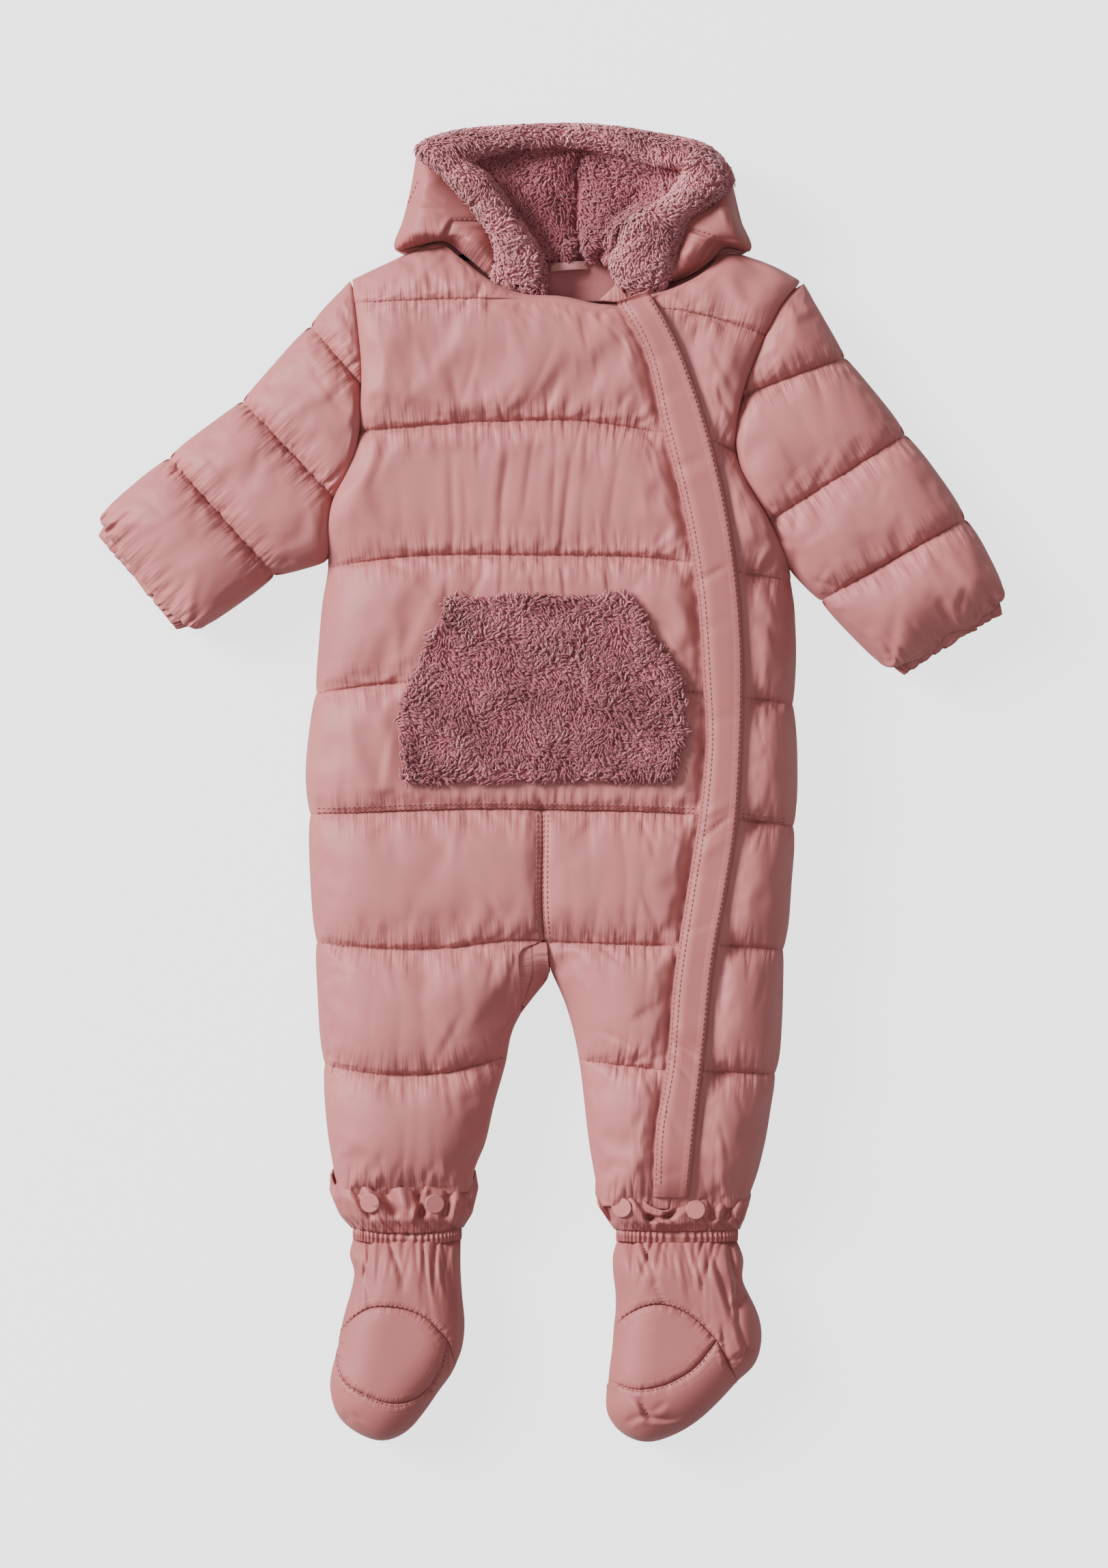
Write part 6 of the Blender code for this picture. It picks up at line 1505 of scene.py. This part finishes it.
def bootie(side, seed):
    sizes = BOOTIES[side]
    bx, by, bw = sizes["elastic"]
    ruffle = ankle_tube(f"bootie_{side}_frill", ruffle_rings(side, sizes, seed))
    sag = sizes["sag"]

    def band_line(up):
        return lambda angle, x: by + up - sag * (1 - np.clip((x - bx) / bw, -1, 1) ** 2) * (np.sin(angle) > 0)

    ribs = [ankle_ring(bx, bw, 2, ELASTIC_HIGH + 3 - 0.5 * abs(up), 3.0, band_line(up),
                       0.055 * (1 - abs(up) / 9), 62, 0)
            for up in np.linspace(ELASTIC_HALF + 0.4, -ELASTIC_HALF - 0.4, 9)]
    elastic = ankle_tube(f"bootie_{side}_band", ribs)
    for piece, node, flat, held in (
            (ruffle, "ruffle", (0.26, 0.028), "gathered"), (elastic, "elastic", (0.17, 0.010), "stretched")):
        gather(piece, 0, [[(bx - bw, by + 4), (bx + bw, by + 4)]], spacing=4, deep=0.5, reach=8, seed=seed)
        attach(piece, "root")
        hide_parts(f"bootie_{side}_{node}")

    foot_edge = np.concatenate([
        path(sizes["left_side"], 40), path(sizes["outline"], 90), path(sizes["right_side"], 40)[::-1]])

    def upper(name, node, grid, seams, folds=(), extra=0.0):
        rise = round_over((distance(grid, foot_edge) + 0.4) / FOOT_REACH)
        far = nearest(grid, seams)
        z = FOOT_FLOOR + CLOTH + rise * (FOOT_RISE - 4.2 * (1 - round_over(far / 7))) + extra
        # the bootie's upper takes the deeper satin's painted shade
        piece = padded_skin(name, raised(grid, z), shaded_satin)
        refine(piece)
        gather(piece, FOOT_FLOOR, seams, spacing=3.4, deep=0.5, reach=3.6, seed=seed + len(name), fades=3.2)
        fold(piece, FOOT_FLOOR, folds)
        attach(piece, "root")
        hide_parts(f"bootie_{side}_{node}")
        if node != "shaft":
            close_under(piece, FOOT_FLOOR)
        return piece

    across, rows = 30, eased(30)

    def along(points, shares):
        fine = path(points, 200)
        return np.stack([np.interp(shares, np.linspace(0, 1, 200), column) for column in fine.T], axis=1)

    arch, toe_seam = along(sizes["arch"], eased(across)), along(sizes["toe_seam"], eased(across))
    side_seam = path(sizes["side_seam"], 8)
    shaft_low = np.concatenate([arch, side_seam[1:]])
    shares = np.linspace(0, 1, len(shaft_low))[:, None]
    shaft_top = np.array(sizes["left_side"][0]) * (1 - shares) + np.array(sizes["right_side"][0]) * shares
    shaft = patch(shaft_top, shaft_low, along(sizes["left_side"], rows), along(sizes["right_side"], rows))
    sunk = -12.0 * np.clip(1 - (shaft_top[0, 1] - shaft[..., 1]) / 22, 0, 1) ** 2
    leg = upper(f"bootie_{side}_leg", "shaft", shaft, (shaft_low,), BOOT_FOLDS[side], sunk)
    ends = (sizes["left_side"][0], sizes["right_side"][0])
    points = places(leg)
    along_end, near, _ = beside_line(points, ends)
    clear = np.clip((points[:, 2] - FOOT_FLOOR - 2) / 8, 0, 1)
    points[:, 2] += pleats(along_end, near, seed + 5, 4.6, 2.7, 21, 0.2) * clear
    move_to(leg, points)
    close_under(leg, FOOT_FLOOR)

    vamp_top, vamp_low = offset_line(arch, -0.03), offset_line(toe_seam, 0.03)
    for line in (vamp_top, vamp_low):
        back = line[-2] - line[-1]
        line[-1] += back * 0.1 / np.linalg.norm(back)
    down = rows[:, None]
    vamp = patch(vamp_top, vamp_low, vamp_top[0] * (1 - down) + vamp_low[0] * down,
                 vamp_top[-1] * (1 - down) + vamp_low[-1] * down)
    upper(f"bootie_{side}_instep", "vamp", vamp, (toe_seam, arch))

    toe_top = np.concatenate([toe_seam[:-1], offset_line(side_seam, -0.03)])
    toe_low = along(sizes["outline"], eased(len(toe_top)))
    toe_low[-1] = toe_top[-1] + np.array([-0.5, -1.5])
    toe = patch(toe_top, toe_low, toe_top[0] * (1 - down) + toe_low[0] * down,
                toe_top[-1] * (1 - down) + toe_low[-1] * down)
    toecap = upper(f"bootie_{side}_toecap", "toe", toe, (toe_seam, side_seam), BOOT_FOLDS[side])

    # the sole and the back of the shaft, in one with the seam between them as a channel
    outline, low = sizes["outline"], sizes["lowest"]
    left_line = path(sizes["left_side"] + outline[:low + 1], 60)
    right_line = path(sizes["right_side"] + outline[low:-1][::-1], 60)
    flat = between(left_line, right_line, 0.014 + 0.972 * eased(34))
    heel_y = float(max(arch[0][1], arch[-1][1]))
    share = np.clip(np.abs(flat[..., 1] - heel_y) / 14, 0, 1) / 2
    back_panel(f"bootie_{side}_under", [f"bootie_{side}_sole", f"bootie_{side}_back"], flat,
               np.clip(share, 0.02, 0.5), free=foot_edge, groove=2.0, top=FOOT_SPLIT, tuck=BOOT_TUCK)
    return {"ruffle": ruffle, "band": elastic, "leg": leg, "toe": toecap, "arch": arch, "toe_seam": toe_seam}


booties = {side: bootie(side, seed) for side, seed in (("left", 71), ("right", 81))}


# ---------------------------------------------------------------- snap caps
# Round cloth-covered caps pressed through the ruffle, two on each bootie.
SNAP_RADIUS, SNAP_POINTS = 6.0, 48
SNAP_PROFILE = [  # share of the radius, height
    (0.96, -1.0), (1.0, -0.4), (1.0, 0.6), (0.96, 0.95), (0.88, 1.1), (0.8, 1.05), (0.4, 1.15), (0.02, 1.2)]
for side, parts in booties.items():
    tree = BVHTree.FromObject(parts["ruffle"], bpy.context.evaluated_depsgraph_get())
    for number, (x, y) in enumerate(BOOTIES[side]["snaps"], 1):
        spots = [(x, y)] + [(x + SNAP_RADIUS * math.cos(a), y + SNAP_RADIUS * math.sin(a))
                            for a in np.linspace(0, 2 * math.pi, 13)[:-1]]
        hits = []
        for px, py in spots:
            place, _, _, _ = tree.ray_cast(Vector((px * MM, py * MM, 1.0)), Vector((0, 0, -1)))
            if place is not None:
                hits.append((px, py, place.z / MM))
        hits = np.array(hits)
        slope = np.linalg.lstsq(np.c_[hits[:, :2], np.ones(len(hits))], hits[:, 2], rcond=None)[0]
        lift = (hits[:, 2] - hits[:, :2] @ slope[:2] - slope[2]).max() * 0.6
        angles = np.linspace(0, 2 * np.pi, SNAP_POINTS + 1)[:-1]
        rings = []
        for size, up in SNAP_PROFILE:
            px, py = x + SNAP_RADIUS * size * np.cos(angles), y + SNAP_RADIUS * size * np.sin(angles)
            rings.append(np.column_stack([px, py, px * slope[0] + py * slope[1] + slope[2] + lift + up]))
        loops = np.array(rings)
        last = (len(loops) - 1) * SNAP_POINTS
        lids = [tuple(range(SNAP_POINTS)), tuple(range(last, last + SNAP_POINTS))]
        faces = quads(len(loops), SNAP_POINTS, closed=True) + lids
        cap = new_piece(f"snap_cap_{side}_{number}", loops.reshape(-1, 3), faces, rose_satin)
        gather_under(cap)
        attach(cap, "root")
        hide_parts(f"snap_{side}_{number}")


# ---------------------------------------------------------------- stitching
# Polyester thread a shade deeper than the cloth: one row along each quilting line and joining
# seam, two at the waist and down the middle, and a row along both edges of the zip flap.
def stitching(name, runs, thread, pitch=3.1, long=2.3, thick=0.42):
    """Stitches as one mesh. Each run is (piece, line of points, distance to its left)."""
    spans = []
    for piece, line, aside in runs:
        tree = BVHTree.FromObject(piece, bpy.context.evaluated_depsgraph_get())
        line = offset_line(line, aside) if aside else np.asarray(line, float)[:, :2]
        run = np.concatenate([[0], np.cumsum(np.linalg.norm(np.diff(line, axis=0), axis=1))])
        for at in np.arange(pitch / 2, run[-1] - pitch / 2, pitch):
            ends = []
            for where in (at - long / 2, at + long / 2):
                x, y = (np.interp(where, run, column) for column in line.T)
                place, normal, _, _ = tree.ray_cast(Vector((x * MM, y * MM, 1.0)), Vector((0, 0, -1)))
                if place is not None:
                    ends.append((np.array(place) / MM, np.array(normal)))
            if len(ends) == 2 and abs(ends[0][0][2] - ends[1][0][2]) < 2.5:
                spans.append(np.concatenate([ends[0][0], ends[1][0], ends[0][1] + ends[1][1]]))
    spans = np.array(spans)
    a, b, up = spans[:, :3], spans[:, 3:6], spans[:, 6:]
    up /= np.linalg.norm(up, axis=1, keepdims=True)
    ahead = (b - a) / np.linalg.norm(b - a, axis=1, keepdims=True)
    side = np.cross(ahead, up)
    up = np.cross(side, ahead)
    rings = []
    for share, size in ((0.0, 0.3), (0.18, 1.0), (0.82, 1.0), (1.0, 0.3)):
        centre = a + (b - a) * share + up * (0.16 if size == 1 else -0.12)
        for angle in np.linspace(0, 2 * np.pi, 6)[:-1]:
            rings.append(centre + (side * math.cos(angle) + up * math.sin(angle)) * thick * size)
    points = np.stack(rings, axis=1)
    start = (np.arange(len(spans)) * 20)[:, None]
    faces = []
    for ring in range(3):
        for i in range(5):
            c, d = ring * 5 + i, ring * 5 + (i + 1) % 5
            faces += np.concatenate([start + c, start + c + 5, start + d + 5, start + d], axis=1).tolist()
    faces += (start + np.arange(5)).tolist() + (start + np.arange(19, 14, -1)).tolist()
    piece = new_piece(name, points.reshape(-1, 3), faces, thread)
    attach(piece, "root")
    return piece


thread = knit("thread", (0.185, 0.040, 0.038), 2500)


def across_body(line, left, right, step=6):
    y = float(line(0))
    a, b = float(left(y)), float(right(y))
    return [(x, float(line(x))) for x in np.linspace(a + 1.5, b - 1.5, int((b - a) / step))]


runs = []
for k, line in enumerate(LINES[1:WAIST]):
    runs.append((main_panel, across_body(line, left_x, stitch_x) if k else YOKE_PATH[8:], 0))
    runs.append((side_panel, across_body(line, free_x, right_x), 0))
for aside in (1.3, 3.8):
    runs.append((main_panel, across_body(LINES[WAIST], left_x, stitch_x), aside))
    runs.append((side_panel, across_body(LINES[WAIST], free_x, right_x), aside))
for line in LINES[WAIST + 1:HEM]:
    runs.append((leg_left, across_body(line, left_x, inner_left), 0))
    runs.append((leg_inner, across_body(line, inner_right, stitch_x), 0))
    runs.append((leg_outer, across_body(line, free_x, right_x), 0))
for aside in (1.2, 3.4):
    runs.append((leg_left, edge_path(centre_x, -18, -96, 20), -aside))
    runs.append((leg_inner, edge_path(centre_x, -18, -96, 20), aside))
for aside in (2.2, 5.0):
    runs.append((flap, edge_path(stitch_x, 294, -247, 90), aside))
runs.append((flap, edge_path(free_x, 298, -247, 90), -2.4))
for piece, at in ((sleeve_left, left_sleeve), (sleeve_right, right_sleeve)):
    for k in (1.0, 2.0, 3.0):
        outer, inner = at(k)
        line = [outer + (inner - outer) * t for t in np.linspace(0.03, 0.97, 14)]
        runs.append((piece, line, 0))
for side, parts in booties.items():
    runs.append((parts["leg"], parts["arch"][1:-1], 1.1))
    runs.append((parts["toe"], parts["toe_seam"][1:-1], -1.1))
runs.append((hood_left, [(-82, 370), (-88, 358), (-93.5, 346)], 0))
runs.append((hood_left, [(-61, 345.5), (-50, 346), (-40, 345.5)], 0))
runs.append((hood_right, [(82, 341), (92, 338), (101, 335)], 0))
stitching("stitch_rows", runs, thread)
